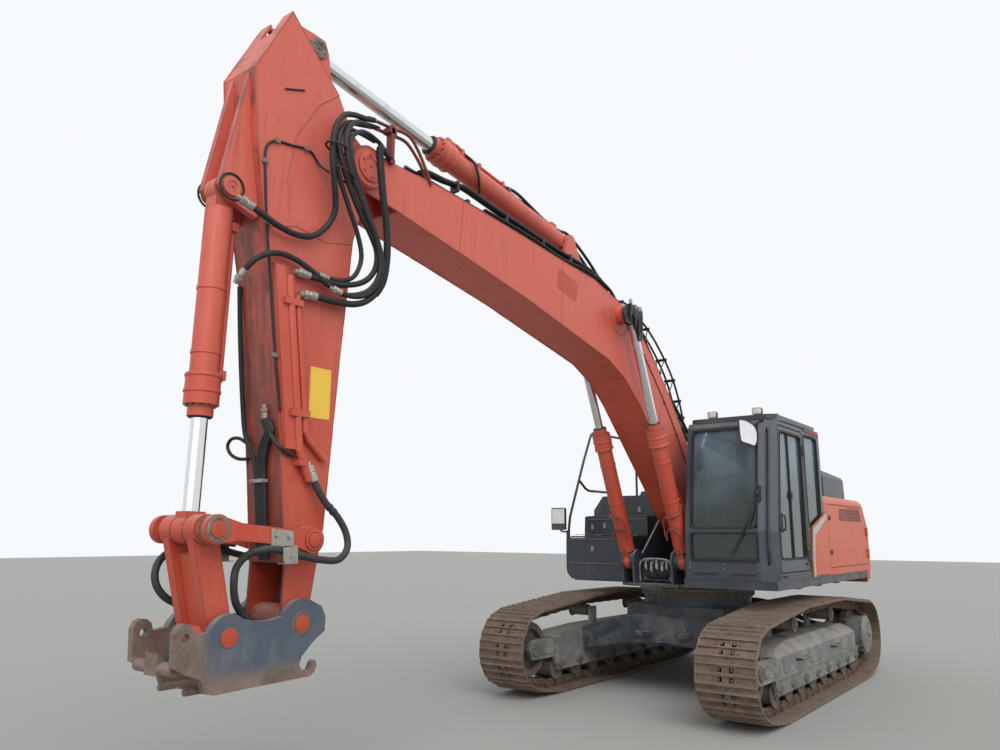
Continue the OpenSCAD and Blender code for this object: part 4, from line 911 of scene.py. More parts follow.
def makeWiper(s):
    arm, rubber = Shape(), Shape()
    y, z = s["pivot"]
    arm.turned(onFront(y, z, 0.002), (1, 0, 0.16), [(0, 0.028), (0.018, 0.026), (0.03, 0.014)], 20)
    path = [onFront(y, z, 0.022), onFront(y - 0.03, z - 0.10, 0.03), onFront(1.21, 1.95, 0.034),
        onFront(1.13, 1.80, 0.030)]
    arm.tube(bend(path), 0.006)
    arm.tube(bend([onFront(y - 0.01, z - 0.03, 0.022), onFront(y - 0.045, z - 0.14, 0.03),
        onFront(1.20, 1.93, 0.034)]), 0.004)
    for lift, radius in ((0.018, 0.007), (0.010, 0.004)):
        rubber.tube(bend([onFront(u, v, lift) for u, v in s["blade"]]), radius, 6)
    # Motor cover behind the post and the washer's hose
    arm.prism(rounded([(1.265, 2.16), (1.345, 2.14), (1.345, 2.33), (1.285, 2.34)], 0.025), -0.03, 0.004, onFront)
    make("wiperArm", arm, blackPlastic, "upper")
    make("wiperBlade", rubber, sealRubber, "upper")


makeWiper(wiperSet)

mirrorSet = {
    "plate": [(1.13, 3.07), (1.225, 3.045), (1.305, 2.985), (1.338, 2.915), (1.343, 2.82), (1.318, 2.745),
        (1.235, 2.785), (1.16, 2.81), (1.145, 2.9)],
    "out": 0.075,
}


def makeCabMirror(s):
    back, stalk = Shape(), Shape()
    plate = rounded(s["plate"], 0.03)
    back.prism(plate, s["out"], s["out"] + 0.012, onFront)
    stalk.strip(inset(plate, -0.008), 0.014, s["out"] - 0.004, s["out"] + 0.014, onFront)
    stalk.prism(inset(plate, 0.004), s["out"] - 0.03, s["out"] - 0.001, onFront)
    stalk.tube(bend([onFront(1.24, 2.93, 0.05), onFront(1.30, 3.0, 0.04), onFront(1.35, 3.05, 0.0)]), 0.010)
    stalk.turned(onFront(1.35, 3.05, -0.02), (1, 0, 0.2), [(0, 0.024), (0.03, 0.024), (0.034, 0.016)], 16)
    # The mirror's plate is near white: painted reflection of the sky
    make("cabMirror", back, mirrorFace, "upper")
    make("cabMirrorRim", stalk, blackPlastic, "upper")


makeCabMirror(mirrorSet)

cabTrimSet = {
    "rail": [(1.345, 1.395, 1.50), (1.378, 1.420, 1.56), (1.378, 1.420, 1.85), (1.21, 1.425, 2.87),
        (1.17, 1.40, 2.93)],
}


def makeCabTrim(s):
    black, dark, red, chrome = Shape(), Shape(), Shape(), Shape()
    # Post cover strips, the rail on the corner post, feet of the rail
    black.tube(bend(s["rail"], 8), 0.013)
    for z in (1.60, 2.2, 2.84):
        black.tube([(cabFront(z) - 0.075, 1.40, z), (cabFront(z) - 0.01, 1.421, z)], 0.009)
    dark.prism(panel(0.62, 1.352, 1.28, 1.425, 0.012), -0.004, 0.004, onFront)
    for y0, y1 in ((0.56, 0.85), (1.0, 1.28)):
        black.prism(panel(y0, 1.375, y1, 1.402, 0.012), 0.0, 0.008, onFront)
    for y in (0.535, 0.93, 1.305):
        for z in (1.445, 1.49):
            chrome.bolt(onFront(y, z, 0.0), (1, 0, 0), 0.007)
    # Rain gutter over the door and the roof's rear marker strip
    black.tube(bend([(-0.40, 1.492, 3.055), (0.3, 1.500, 3.06), (0.95, 1.498, 3.055), (1.08, 1.485, 3.04)]), 0.011)
    red.prism(rounded([(-0.44, 3.005), (0.18, 3.022), (0.18, 3.062), (-0.42, 3.066)], 0.015), 1.497, 1.505)
    black.turned((0.80, 1.40, 3.118), (0, 0, 1), [(0, 0.030), (0.02, 0.030), (0.028, 0.020), (0.04, 0.020),
        (0.05, 0.012)], 20)
    black.tube([(0.80, 1.40, 3.15), (0.80, 1.40, 3.158)], 0.01)
    # Ribs of the roof panel
    for y in (0.60, 1.38):
        dark.prism(panel(-0.36, y - 0.03, 1.02, y + 0.03, 0.025), 3.118, 3.127, flatways)
    # Entry step below the door, with its grip teeth
    dark.block((0.32, 1.497, 1.362), (1.2, 1.535, 1.374))
    for k in range(14):
        dark.block((0.34 + 0.061 * k, 1.50, 1.374), (0.375 + 0.061 * k, 1.532, 1.380))
    make("cabRail", black, blackTube, "upper")
    make("cabStrips", dark, cabPaint, "upper", bevel=0.0015)
    make("roofMarker", red, fadedRed, "upper", bevel=0.002)
    make("cabBolts", chrome, pinSteel, "upper")


makeCabTrim(cabTrimSet)

lampSet = {
    "at": [0.764, 1.287],
    "z": cabSet["top"],
    "back": 0.052,
    # Each ring: how far ahead of the lamp's front, and how far shrunk to its middle
    "housing": [(-0.075, 0.35), (-0.05, 0.05), (0.0, 0.0)],
    "lens": [(0.0, 0.1), (0.004, 0.14), (0.007, 0.5)],
}


def makeRoofLamps(s):
    housing, lens = Shape(), Shape()
    z = s["z"]
    front = cabFront(z) - s["back"]
    for y in s["at"]:
        body = panel(y - 0.055, z + 0.006, y + 0.055, z + 0.084, 0.02)
        for shape, steps in ((housing, s["housing"]), (lens, s["lens"])):
            rings = [[(front + d, u + (y - u) * t, v + (z + 0.045 - v) * t) for u, v in body] for d, t in steps]
            shape.rings(rings)
        housing.block((front - 0.045, y - 0.02, z), (front - 0.02, y + 0.02, z + 0.012))
    piece = make("lampHousings", housing, greyPlastic, "upper", "lamp_body", bevel=0.002)
    make("lampLenses", lens, lensGlass, "upper")
    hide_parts("work_lamps")


makeRoofLamps(lampSet)
print("cab dressed")

# Inside the cab: cushioned seat, consoles' pads, levers with gaiters, monitor

seatSet = {
    "x": 0.06,
    "y": 0.9935,
    "floor": 1.3803,
    "puff": 0.012,
    "voxel": 0.012,
    "smoothing": 14,
    "seams": (-0.12, 0.12),  # of the sewn channels, from the pad's middle
    "seamDepth": 0.010,
}


def cushion(s, name, outline, half, puff):
    # A closed pad, rounded and crowned, with sewn channels
    shape = Shape()
    shape.prism(outline, s["y"] - half, s["y"] + half)
    piece = make(name, shape, seatCloth, None, sharp=180)
    remesh = piece.modifiers.new("remesh", "REMESH")
    remesh.mode = "VOXEL"
    remesh.voxel_size = s["voxel"]
    smooth = piece.modifiers.new("smooth", "SMOOTH")
    smooth.factor = 0.8
    smooth.iterations = s["smoothing"]
    bpy.context.view_layer.update()
    solid = bpy.data.meshes.new_from_object(piece.evaluated_get(bpy.context.evaluated_depsgraph_get()))
    piece.modifiers.clear()
    piece.data = solid
    piece.data.shade_smooth()
    low = Vector([min(v.co[k] for v in solid.vertices) for k in range(3)])
    high = Vector([max(v.co[k] for v in solid.vertices) for k in range(3)])
    middle = (low + high) / 2
    for v in solid.vertices:
        across = (v.co.y - middle.y) / (high.y - low.y) * 2
        crown = max(0.0, 1 - across * across)
        channel = sum(math.exp(-(((v.co.y - middle.y) - c) / 0.010) ** 2) for c in s["seams"])
        v.co += v.normal * (puff * crown - s["seamDepth"] * min(1, channel))
    piece.data.materials.clear()
    piece.data.materials.append(seatCloth)
    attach(piece, "upper")
    return piece


def makeSeat(s):
    x, y, z = s["x"], s["y"], s["floor"]
    lower = [(x - 0.22, z + 0.345), (x + 0.26, z + 0.345), (x + 0.265, z + 0.43), (x - 0.2, z + 0.415)]
    back = [(x - 0.255, z + 0.47), (x - 0.165, z + 0.47), (x - 0.255, z + 0.93), (x - 0.325, z + 0.93)]
    rest = [(x - 0.285, z + 0.955), (x - 0.225, z + 0.955), (x - 0.25, z + 1.1), (x - 0.305, z + 1.1)]
    base = cushion(s, "seatCushion", lower, 0.23, s["puff"])
    cushion(s, "seatBack", back, 0.225, s["puff"])
    cushion(s, "headRest", rest, 0.13, s["puff"] * 0.6)
    frame = Shape()
    frame.block((x - 0.2, y - 0.2, z + 0.27), (x + 0.24, y + 0.2, z + 0.335))
    frame.prism([(x - 0.27, z + 0.34), (x - 0.245, z + 0.34), (x - 0.335, z + 1.02), (x - 0.35, z + 1.02)],
        y - 0.19, y + 0.19)
    for k in range(5):  # bellows round the suspension
        frame.block((x - 0.17, y - 0.17, z + 0.03 + 0.048 * k), (x + 0.2, y + 0.17, z + 0.055 + 0.048 * k))
        frame.block((x - 0.15, y - 0.15, z + 0.05 + 0.048 * k), (x + 0.18, y + 0.15, z + 0.082 + 0.048 * k))
    frame.block((x - 0.2, y - 0.19, z + 0.001), (x + 0.24, y + 0.19, z + 0.035))
    for dy in (-0.07, 0.07):
        frame.tube([(x - 0.283, y + dy, z + 0.90), (x - 0.275, y + dy, z + 0.98)], 0.007)
    make("seatFrame", frame, blackPlastic, "upper", bevel=0.003)
    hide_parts("operator_seat")
    levers, screen = Shape(), Shape()
    for ly in (0.635, y + 0.34):
        levers.prism(panel(-0.03, ly - 0.045, 0.36, ly + 0.045, 0.03), z + 0.575, z + 0.612, flatways)
        for k in range(5):
            levers.turned((0.47, ly, z + 0.572 + 0.018 * k), (0, 0, 1),
                [(0, 0.055 - 0.007 * k), (0.009, 0.05 - 0.007 * k), (0.018, 0.05 - 0.007 * k)], 20)
        levers.tube(bend([(0.47, ly, z + 0.65), (0.475, ly, z + 0.72), (0.49, ly, z + 0.79)]),
            [0.018, *[0.02] * 10, 0.024, 0.03])
    screen.prism(rounded([(0.99, 2.0), (0.99, 2.16), (1.13, 2.16), (1.13, 2.0)], 0.015), 0.60, 0.63, lambda u, v,
        w: (u * 0.25 + 0.83 + w * 0.2, w + (u - 1) * 0.9, v - 0.06))
    # Loops of the travel levers and the front grab handle
    for ly in (0.93, 1.06):
        levers.tube(bend([(1.00, ly, 1.86), (0.985, ly, 1.93), (0.975, ly, 2.02)]), 0.013)
    screen.tube(bend([(1.19, 1.25, 2.1), (1.15, 1.20, 2.06), (1.15, 1.20, 1.98), (1.19, 1.25, 1.94)]), 0.008)
    make("levers", levers, blackPlastic, "upper")
    make("monitor", screen, greyPlastic, "upper", bevel=0.002)


makeSeat(seatSet)
print("seat made")

# Flanks: slanting stripe on the left, grilles and latches of the doors, bolts and corner of the deck

flankSet = {
    "y": 1.517,
    "band": [(0.183, 1.335), (0.183, 1.53), (0.118, 1.872), (-0.487, 2.078), (-0.487, 2.02), (0.045, 1.80),
        (0.108, 1.50), (0.108, 1.335)],
    "grille": [(-2.27, 2.0), (-1.17, 2.0), (-1.2, 2.15), (-2.2, 2.15)],
    "latches": [(-0.69, 1.60), (-0.69, 2.02)],
}


def makeFlank(s):
    silver, blades, steel = Shape(), Shape(), Shape()
    silver.prism(s["band"], s["y"] - 0.0005, s["y"] + 0.002)
    blades.strip(rounded(s["grille"], 0.02), 0.016, 1.497, 1.503)
    turn = Matrix.Rotation(math.radians(35), 3, "X")
    for k in range(6):
        blades.block((-2.225 + 0.008 * k, -0.002, -0.009), (-1.20, 0.002, 0.009), turn,
            (0, 1.499, 2.018 + 0.022 * k))
    for x, z in s["latches"]:
        for long, high, radius, back, front in ((0.05, 0.03, 0.012, 1.4965, 1.5),
                (0.036, 0.016, 0.008, 1.5, 1.504)):
            steel.prism(panel(x - long, z - high, x + long, z + high, radius), back, front)
    make("stripe", silver, silverPaint, "upper")
    # The blades take a darker red: painted shade of the louvres
    make("doorGrille", blades, grillePaint, "left_door")
    make("doorLatches", steel, blackPlastic, "left_door", bevel=0.001)
    blades.join(steel)
    make("rightGrille", blades.mirrored(), grillePaint, "right_door")
    skirt = Shape()
    # Side deck below the flank: bolts, drain slots and the red corner piece
    skirt.boltGrid((-2.1, -1.45, -0.8, -0.15, 0.5), [1.487], (1.30, 1.245), (0, 1, 0), 0.010)
    for x in (-1.8, -1.15, -0.5, 0.2):
        skirt.prism(panel(x - 0.07, 1.262, x + 0.07, 1.284, 0.011), 1.487, 1.489)
    make("deckBolts", both(skirt), pinSteel, "upper")
    corner = Shape()
    corner.prism(rounded([(-2.59, 1.205), (-2.42, 1.205), (-2.38, 1.30), (-2.44, 1.33), (-2.59, 1.33)], 0.03),
        1.486, 1.494)
    make("deckCorner", corner, freshOrange, "upper", bevel=0.002)


makeFlank(flankSet)
print("left flank dressed")

# Front: the main pins, as the frame gives them

frontSet = {
    "foot": (0.191, 2.048),
    "nose": (6.1333, 4.4248),
    "tip": (6.5134, 1.2475),
    "boomEye": (2.288, 4.182),
    "boomCylinderFoot": (1.130, 1.500),
    "armCylinderFoot": (3.100, 4.805),
    "armEye": (6.5323, 5.2368),
    "couplerCylinderFoot": (7.1523, 3.9318),
    "guidePin": (6.4994, 1.7535),
    "linkPin": (7.1824, 1.8125),
    "couplerFront": (7.0271, 1.2107),
}


def pinCap(shape, pin, y, radius, bolts=0, side=1, thick=0.014):
    # Round cover plate of a pin with a raised ring, a grease nipple and its bolts
    x, z = frontSet[pin]
    axis = (0, side, 0)
    shape.turned((x, side * y, z), axis, [(-0.002, radius), (thick * 0.8, radius), (thick, radius * 0.94),
        (thick, radius * 0.55), (thick * 0.7, radius * 0.5), (thick * 0.7, radius * 0.1)], 36)
    shape.turned((x, side * (y + thick * 0.6), z), axis, [(0, 0.009), (0.008, 0.009), (0.012, 0.004)], 10)
    if bolts:
        shape.circleOfBolts((x, side * (y + thick * 0.7), z), axis, radius * 0.72, bolts, 0.010, 0.4)


def bead(shape, line, y, radius=0.006):
    # Weld bead along an edge, with the small waves of its passes
    path = [Vector((x, y, z)) for x, z in line]
    fine = []
    for a, b in zip(path, path[1:]):
        count = max(1, int((b - a).length / 0.05))
        fine += [a.lerp(b, k / count) for k in range(count)]
    fine.append(path[-1])
    waves = random.Random(7)
    shape.tube(fine, [radius * (0.85 + 0.3 * waves.random()) for _ in fine], 6)


def moved(points, pin):
    x, z = frontSet[pin]
    return [(x + u, z + v) for u, v in points]


boomSet = {
    "lower": [(0.50, 0.02), (0.74, 0.30), (1.06, 0.60), (1.44, 0.96), (1.72, 1.22), (2.00, 1.43), (2.37, 1.59),
        (2.92, 1.70), (3.90, 1.895), (4.80, 2.04), (5.40, 2.13)],
    "upper": [(5.40, 2.532), (5.10, 2.535), (4.20, 2.495), (3.20, 2.43), (2.65, 2.405), (2.12, 2.29), (1.70, 2.09),
        (1.30, 1.78), (0.90, 1.40), (0.48, 0.90), (0.12, 0.43)],
    "side": 0.225,
    "seams": [((1.30, 0.84), (1.02, 1.48)), ((3.30, 1.775), (3.26, 2.425)), ((4.86, 2.06), (4.82, 2.515))],
    "boss": (2.097, 2.114),
    "greaseLine": [(0.50, 0.62), (0.75, 0.95), (1.05, 1.30), (1.55, 1.78), (1.95, 2.05)],
    "touchUp": [(3.02, 2.06), (3.38, 2.13), (3.34, 2.34), (2.98, 2.27)],
}


def makeBoomWelds(s):
    orange, caps, dark = Shape(), Shape(), Shape()
    for y in (s["side"] - 0.003, -s["side"] + 0.003):
        for name in ("lower", "upper"):
            bead(orange, moved(s[name], "foot"), y, 0.0065)
    for side in (1, -1):
        # Cross seams of the side plates and the doubler round the cylinder's boss
        y = side * s["side"]
        for a, b in s["seams"]:
            bead(orange, moved([a, ((a[0] + b[0]) / 2, (a[1] + b[1]) / 2), b], "foot"), y, 0.0045)
        doubler = [polar(0.2, math.radians(a)) + Vector(s["boss"]) for a in range(150, 391, 20)]
        bead(orange, moved(doubler, "foot"), y, 0.005)
        pinCap(caps, "foot", 0.293, 0.10, side=side)
        pinCap(orange, "boomEye", 0.388, 0.062, 3, side, 0.012)
        pinCap(orange, "nose", 0.270, 0.115, 6, side, 0.016)
        x, z = frontSet["nose"]
        orange.tube(circle(x, side * 0.268, z, 0.150, 32), 0.007, 6)
        # Keeper plates of the foot pin
        x, z = frontSet["foot"]
        y0, y1 = sorted((side * 0.256, side * 0.27))
        caps.block((x - 0.03, y0, z - 0.19), (x + 0.03, y1, z - 0.09))
        caps.bolt((x, side * 0.27, z - 0.16), (0, side, 0), 0.012)
        # Grease lines that run from the foot to the cylinder's boss
        line = moved(s["greaseLine"], "foot")
        dark.tube(bend([(u, side * 0.230, v) for u, v in line]), 0.005, 6)
        y0, y1 = sorted((side * 0.224, side * 0.238))
        for u, v in line[1:4]:
            dark.block((u - 0.02, y0, v - 0.014), (u + 0.02, y1, v + 0.014))
    make("boomWelds", orange, orangePaint, "boom")
    make("bracketCaps", caps, pinSteel, "upper")
    make("boomGreaseLines", dark, blackTube, "boom")
    patch = Shape()
    patch.prism(rounded(moved(s["touchUp"], "foot"), 0.05), s["side"] - 0.001, s["side"] + 0.0012)
    make("boomTouchUp", patch, freshOrange, "boom")


makeBoomWelds(boomSet)

boomPipeSet = {
    "rows": (-0.15, -0.10, 0.10, 0.15),
    "radius": 0.017,
    "hose": 0.021,
    "headPipe": 0.0135,
    "topHose": 0.012,
    "crest": [(2.50, 2.433), (2.66, 2.452), (3.2, 2.478), (4.2, 2.543), (5.1, 2.583), (5.46, 2.60)],
    "clamps": [(3.3, 2.483), (4.0, 2.53), (4.7, 2.562), (5.3, 2.59)],
}


def makeBoomPipes(s):
    pipes, clamps, red, hoses, fittings = Shape(), Shape(), Shape(), Shape(), Shape()
    fx, fz = frontSet["foot"]
    for y in s["rows"]:
        pipes.tube(bend([(x, y, z) for x, z in moved(s["crest"], "foot")]), s["radius"])
    for x, z in moved(s["clamps"], "foot"):
        clamps.block((x - 0.02, -0.185, z - 0.055), (x + 0.02, 0.185, z + 0.026))
        clamps.boltGrid([x], (-0.125, 0.125), [z + 0.026], (0, 0, 1), 0.011)
    # Red pipes over the boom's head and the post that holds them
    for y, drop in ((0.236, 0.0), (0.202, 0.04)):
        red.tube(bend([(5.43, y, 4.55), (5.50, y, 4.66), (5.60 - drop * 0.4, y, 4.79 - drop),
            (5.71, y, 4.866 - drop), (5.89, y, 4.850 - drop), (6.07, y, 4.833 - drop)]), s["headPipe"])
        fittings.turned((6.065, y, 4.834 - drop), (1, 0, -0.08), [(0, 0.019), (0.03, 0.019), (0.03, 0.016),
            (0.07, 0.016)], 6)
    red.block((5.88, 0.205, 4.55), (5.915, 0.262, 4.865))
    red.block((5.86, 0.186, 4.795), (5.935, 0.262, 4.84))
    # Hoses from the frame up to the boom's pipes, behind the boom
    for k, y in enumerate(s["rows"]):
        start = (-0.62 + 0.06 * k, y * 0.9, 1.50 + 0.02 * k)
        end = (fx + 0.90, y, fz + 1.48)
        path = [start, (-0.42, y * 0.9, 1.86), (-0.28, y, 2.28), (-0.02, y, 2.68), (0.46, y, 3.10), (0.84, y, 3.40),
            end]
        piece = Shape()
        piece.tube(bend(path), s["hose"])
        hose = make("liftHose%d" % (k + 1), piece, hoseRubber, None)
        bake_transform(hose)
        fittings.turned((end[0] - 0.05, y, end[2] - 0.055), (0.68, 0, 0.73),
            [(0, 0.027), (0.045, 0.027), (0.045, 0.023), (0.075, 0.023)], 6)
    # Short bypass hoses on the left edge of the top plate, seen against the sky
    for k in range(2):
        y = 0.19 + 0.018 * k
        hoses.tube(bend([(fx + 2.0 + 0.1 * k, y, fz + 2.262), (fx + 2.3, y, fz + 2.40),
            (fx + 2.75, y, fz + 2.455 + 0.02 * k), (fx + 3.25, y, fz + 2.47), (fx + 3.8, y, fz + 2.51 + 0.015 * k),
            (fx + 4.5, y, fz + 2.555)]), s["topHose"])
    make("boomTopPipes", pipes, blackTube, "boom")
    make("boomClamps", clamps, blackTube, "boom", bevel=0.003)
    make("headPipes", red, fadedRed, "boom")
    make("boomFittings", fittings, chromeFitting, "boom", "chrome_rod")
    make("boomTopHoses", hoses, hoseRubber, "boom")


makeBoomPipes(boomPipeSet)
print("boom dressed")

# Hoses over the joint of boom and arm: control points of each, and its radius

hoseSet = {
    "toCouplerCylinder": ([(6.08, 0.236, 4.833), (6.18, 0.242, 4.80), (6.31, 0.27, 4.76), (6.44, 0.31, 4.68),
        (6.535, 0.34, 4.52), (6.545, 0.34, 4.32), (6.50, 0.32, 4.15), (6.44, 0.27, 3.99), (6.47, 0.235, 3.87),
        (6.58, 0.228, 3.76), (6.71, 0.232, 3.722), (6.85, 0.235, 3.73), (6.98, 0.235, 3.765), (7.06, 0.235, 3.79),
        (7.125, 0.225, 3.815)], 0.021),
    "toLongPipe": ([(6.08, 0.202, 4.793), (6.18, 0.212, 4.76), (6.32, 0.25, 4.70), (6.43, 0.30, 4.60),
        (6.50, 0.345, 4.44), (6.44, 0.35, 4.25), (6.30, 0.345, 4.03), (6.17, 0.34, 3.88), (6.09, 0.33, 3.76),
        (6.09, 0.31, 3.63), (6.17, 0.28, 3.53), (6.33, 0.25, 3.475), (6.50, 0.232, 3.47),
        (6.66, 0.222, 3.475)], 0.021),
    "toShortPipe": ([(5.87, 0.235, 4.575), (5.98, 0.265, 4.60), (6.09, 0.325, 4.57), (6.125, 0.365, 4.45),
        (6.09, 0.365, 4.22), (6.03, 0.355, 3.98), (6.00, 0.34, 3.75), (6.02, 0.32, 3.55), (6.11, 0.295, 3.42),
        (6.22, 0.27, 3.36), (6.37, 0.24, 3.345), (6.52, 0.225, 3.345), (6.60, 0.220, 3.34)], 0.023),
    "roundTheFront": ([(5.99, 0.19, 4.82), (6.14, 0.23, 4.77), (6.33, 0.30, 4.68), (6.45, 0.36, 4.50),
        (6.42, 0.38, 4.28), (6.26, 0.375, 4.02), (6.12, 0.36, 3.82), (6.07, 0.345, 3.62), (6.14, 0.31, 3.47),
        (6.30, 0.27, 3.405), (6.44, 0.25, 3.44), (6.56, 0.235, 3.50), (6.70, 0.225, 3.552), (6.82, 0.22, 3.562),
        (6.93, 0.225, 3.53), (7.02, 0.20, 3.46), (7.06, 0.13, 3.36)], 0.019),
    "innerLoop": ([(5.97, 0.13, 4.74), (6.16, 0.19, 4.70), (6.36, 0.27, 4.62), (6.50, 0.31, 4.46),
        (6.48, 0.32, 4.26), (6.37, 0.315, 4.04), (6.26, 0.305, 3.86), (6.20, 0.29, 3.70), (6.24, 0.27, 3.56),
        (6.35, 0.25, 3.50), (6.50, 0.235, 3.495)], 0.017),
    "outerLoop": ([(5.91, 0.22, 4.62), (6.05, 0.26, 4.66), (6.25, 0.31, 4.64), (6.39, 0.35, 4.52),
        (6.40, 0.37, 4.36), (6.30, 0.37, 4.14), (6.17, 0.365, 3.93), (6.06, 0.355, 3.72), (6.06, 0.335, 3.56),
        (6.15, 0.31, 3.44), (6.27, 0.285, 3.40), (6.40, 0.262, 3.42)], 0.017),
}


def hoseEnd(shape, tip, back, radius):
    # Crimped sleeve, hexagon nut and pipe stub at the end of a hose
    tip, back = Vector(tip), Vector(back)
    out = (tip - back).normalized()
    r = radius
    shape.turned(tip - out * 3.2 * r, out, [(0, 1.12 * r), (0.1 * r, 1.28 * r), (2.4 * r, 1.28 * r),
        (2.6 * r, 1.1 * r), (2.9 * r, 1.0 * r)], 16)
    shape.turned(tip - out * 0.4 * r, out, [(0, 1.35 * r), (0.1 * r, 1.45 * r), (1.5 * r, 1.45 * r),
        (1.6 * r, 1.35 * r)], 6)
    shape.turned(tip + out * 1.2 * r, out, [(0, 0.8 * r), (1.4 * r, 0.8 * r)], 14)


def makeHeadHoses(s):
    ends = Shape()
    for name, (points, radius) in s.items():
        path = bend(points, 8)
        shape = Shape()
        shape.tube(path, radius, 12)
        hose = make(name, shape, hoseRubber, None)
        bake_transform(hose)
        hoseEnd(ends, path[-1], path[-4], radius)
    make("armHoseEnds", ends, chromeFitting, "arm", "chrome_rod")
    # Woven sleeve and steel spiral on the outermost hose, straps round the bundle
    path = bend(s["toShortPipe"][0], 8)
    guard = Shape()
    middle = path[10:62]
    for a, b in zip(middle, middle[1:]):
        for t in (0.0, 0.5):
            guard.tube([a.lerp(b, t), a.lerp(b, t + 0.28)], 0.0275, 12)
    spiral = make("hoseGuard", guard, guardRubber, None)
    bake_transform(spiral)
    strap = Shape()
    for x, y, z, lean in ((6.505, 0.335, 4.40, 0.15), (6.44, 0.345, 4.22, 0.5)):
        ring = []
        for k in range(25):
            a = 2 * math.pi * k / 24
            ring.append((x + 0.085 * math.cos(a), y + 0.062 * math.sin(a), z + lean * 0.06 * math.cos(a)))
        strap.tube(ring, 0.008, 6)
    band = make("bundleStraps", strap, sealRubber, None, "black_steel")
    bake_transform(band)


makeHeadHoses(hoseSet)

armSet = {
    "side": 0.18,
    "rear": [(-0.06, -0.15), (0.055, -0.574), (0.124, -1.423), (0.205, -2.611)],
    "front": [(0.492, -2.812), (0.56, -2.20), (0.70, -1.10), (0.79, -0.70), (0.90, -0.10), (0.949, 0.374),
        (0.689, 0.911), (0.246, 0.487)],
    "cable": [(6.50, 0.26, 4.24), (6.54, 0.20, 4.30), (6.59, 0.188, 4.362), (6.65, 0.187, 4.378),
        (6.78, 0.187, 4.353), (6.89, 0.187, 4.335), (6.955, 0.187, 4.285), (6.975, 0.187, 4.20),
        (6.96, 0.187, 4.05), (6.94, 0.187, 3.85), (6.905, 0.187, 3.60), (6.86, 0.187, 3.30), (6.80, 0.187, 2.9),
        (6.74, 0.187, 2.55)],
    "clips": [(6.65, 4.378), (6.89, 4.335), (6.972, 4.16), (6.925, 3.75), (6.80, 2.9)],
    "seams": [([(0.246, 0.487), (0.42, 0.33), (0.60, 0.02), (0.66, -0.35)], 0.005),
        ([(0.06, -0.60), (0.30, -0.66), (0.56, -0.62), (0.79, -0.70)], 0.004)],
    "sign": [(0.195, -1.545), (0.372, -1.545), (0.372, -1.885), (0.195, -1.885)],
}


def makeArmTrim(s):
    welds, dark, caps, plate = Shape(), Shape(), Shape(), Shape()
    for y in (s["side"] - 0.003, -s["side"] + 0.003):
        for name in ("rear", "front"):
            bead(welds, moved(s[name], "nose"), y, 0.006)
    for side in (1, -1):
        y = side * s["side"]
        for seam, radius in s["seams"]:
            bead(welds, moved(seam, "nose"), y, radius)
        pinCap(caps, "armEye", 0.112, 0.075, 4, side)
        pinCap(welds, "couplerCylinderFoot", 0.118, 0.064, side=side)
        x, z = frontSet["couplerCylinderFoot"]
        dark.tube(circle(x, side * 0.120, z, 0.085, 24), 0.008, 6)
    dark.tube(bend(s["cable"]), 0.0085, 8)
    for x, z in s["clips"]:
        caps.prism(panel(x - 0.022, z - 0.014, x + 0.022, z + 0.014, 0.008), 0.18, 0.198)
    # Handle on the upper side plate, and a blank yellow plate with its rim
    dark.tube([(6.69, 0.184, 4.80), (6.85, 0.184, 4.735)], 0.007, 6)
    sign = rounded(moved(s["sign"], "nose"), 0.012)
    plate.prism(sign, 0.1795, 0.1815)
    plate.strip(inset(sign, 0.010), 0.003, 0.1812, 0.1821)
    make("armWelds", welds, orangePaint, "arm")
    make("armCable", dark, hoseRubber, "arm")
    make("armCaps", caps, pinSteel, "arm")
    make("blankSign", plate, signYellow, "arm")


makeArmTrim(armSet)
print("arm dressed")

# Cylinders: bolts of the glands, collars, pin ends and wipers
# Each line: pin of the foot, pin of the eye, Y, length and radius of the barrel, half width of its foot, body

cylinderSet = {
    "left": ("boomCylinderFoot", "boomEye", 0.35, 1.655, 0.088, 0.038, "boom_cylinder_left"),
    "right": ("boomCylinderFoot", "boomEye", -0.35, 1.655, 0.088, 0.038, "boom_cylinder_right"),
    "arm": ("armCylinderFoot", "armEye", 0.0, 2.125, 0.100, 0.062, "arm_cylinder"),
    "coupler": ("couplerCylinderFoot", "linkPin", 0.0, 1.457, 0.086, 0.058, "coupler_cylinder"),
}


def makeCylinderTrim(s):
    for name, (foot, eye, y, length, radius, half, body) in s.items():
        a, b = (Vector((frontSet[k][0], y, frontSet[k][1])) for k in (foot, eye))
        axis = (b - a).normalized()
        out = Vector((0, 1, 0)).cross(axis)  # away from the barrel in the XZ plane
        steel, coat, ring = Shape(), Shape(), Shape()
        steel.circleOfBolts(a + axis * (length - 0.07), axis, radius - 0.002, 12, 0.010)

        def collar(at, inside, outside, chamfer, width):
            low, high = radius + outside - chamfer, radius + outside
            edge = [(0, radius - inside), (0, low), (chamfer, high), (width - chamfer, high), (width, low),
                (width, radius - inside)]
            coat.turned(a + axis * at, axis, edge, 40, hollow=True)

        for back in (0.262, 0.166):
            collar(length - back, 0.001, 0.024, 0.006, 0.026)
        ring.turned(a + axis * (length - 0.002), axis, [(0, radius - 0.014), (0.010, radius - 0.02),
            (0.012, radius - 0.034)], 36)
        for share in (0.44, 0.72):
            collar(length * share, 0.003, 0.005, 0.004, 0.028)
        for side in (1, -1):
            steel.turned(a + Vector((0, side * half, 0)), (0, side, 0),
                [(-0.001, 0.068), (0.004, 0.068), (0.005, 0.056)], 28)
        steel.turned(a + axis * 0.16 + out * (radius + 0.002), out, [(0, 0.022), (0.018, 0.022), (0.018, 0.014),
            (0.03, 0.014)], 6)
        make(name + "CylinderBolts", steel, pinSteel, body)
        make(name + "CylinderCollars", coat, orangePaint, body)
        make(name + "RodWiper", ring, sealRubber, body)


makeCylinderTrim(cylinderSet)
print("cylinders dressed")

# Coupler and links: pin heads, clamps of the quick coupler's hoses, the hoses themselves

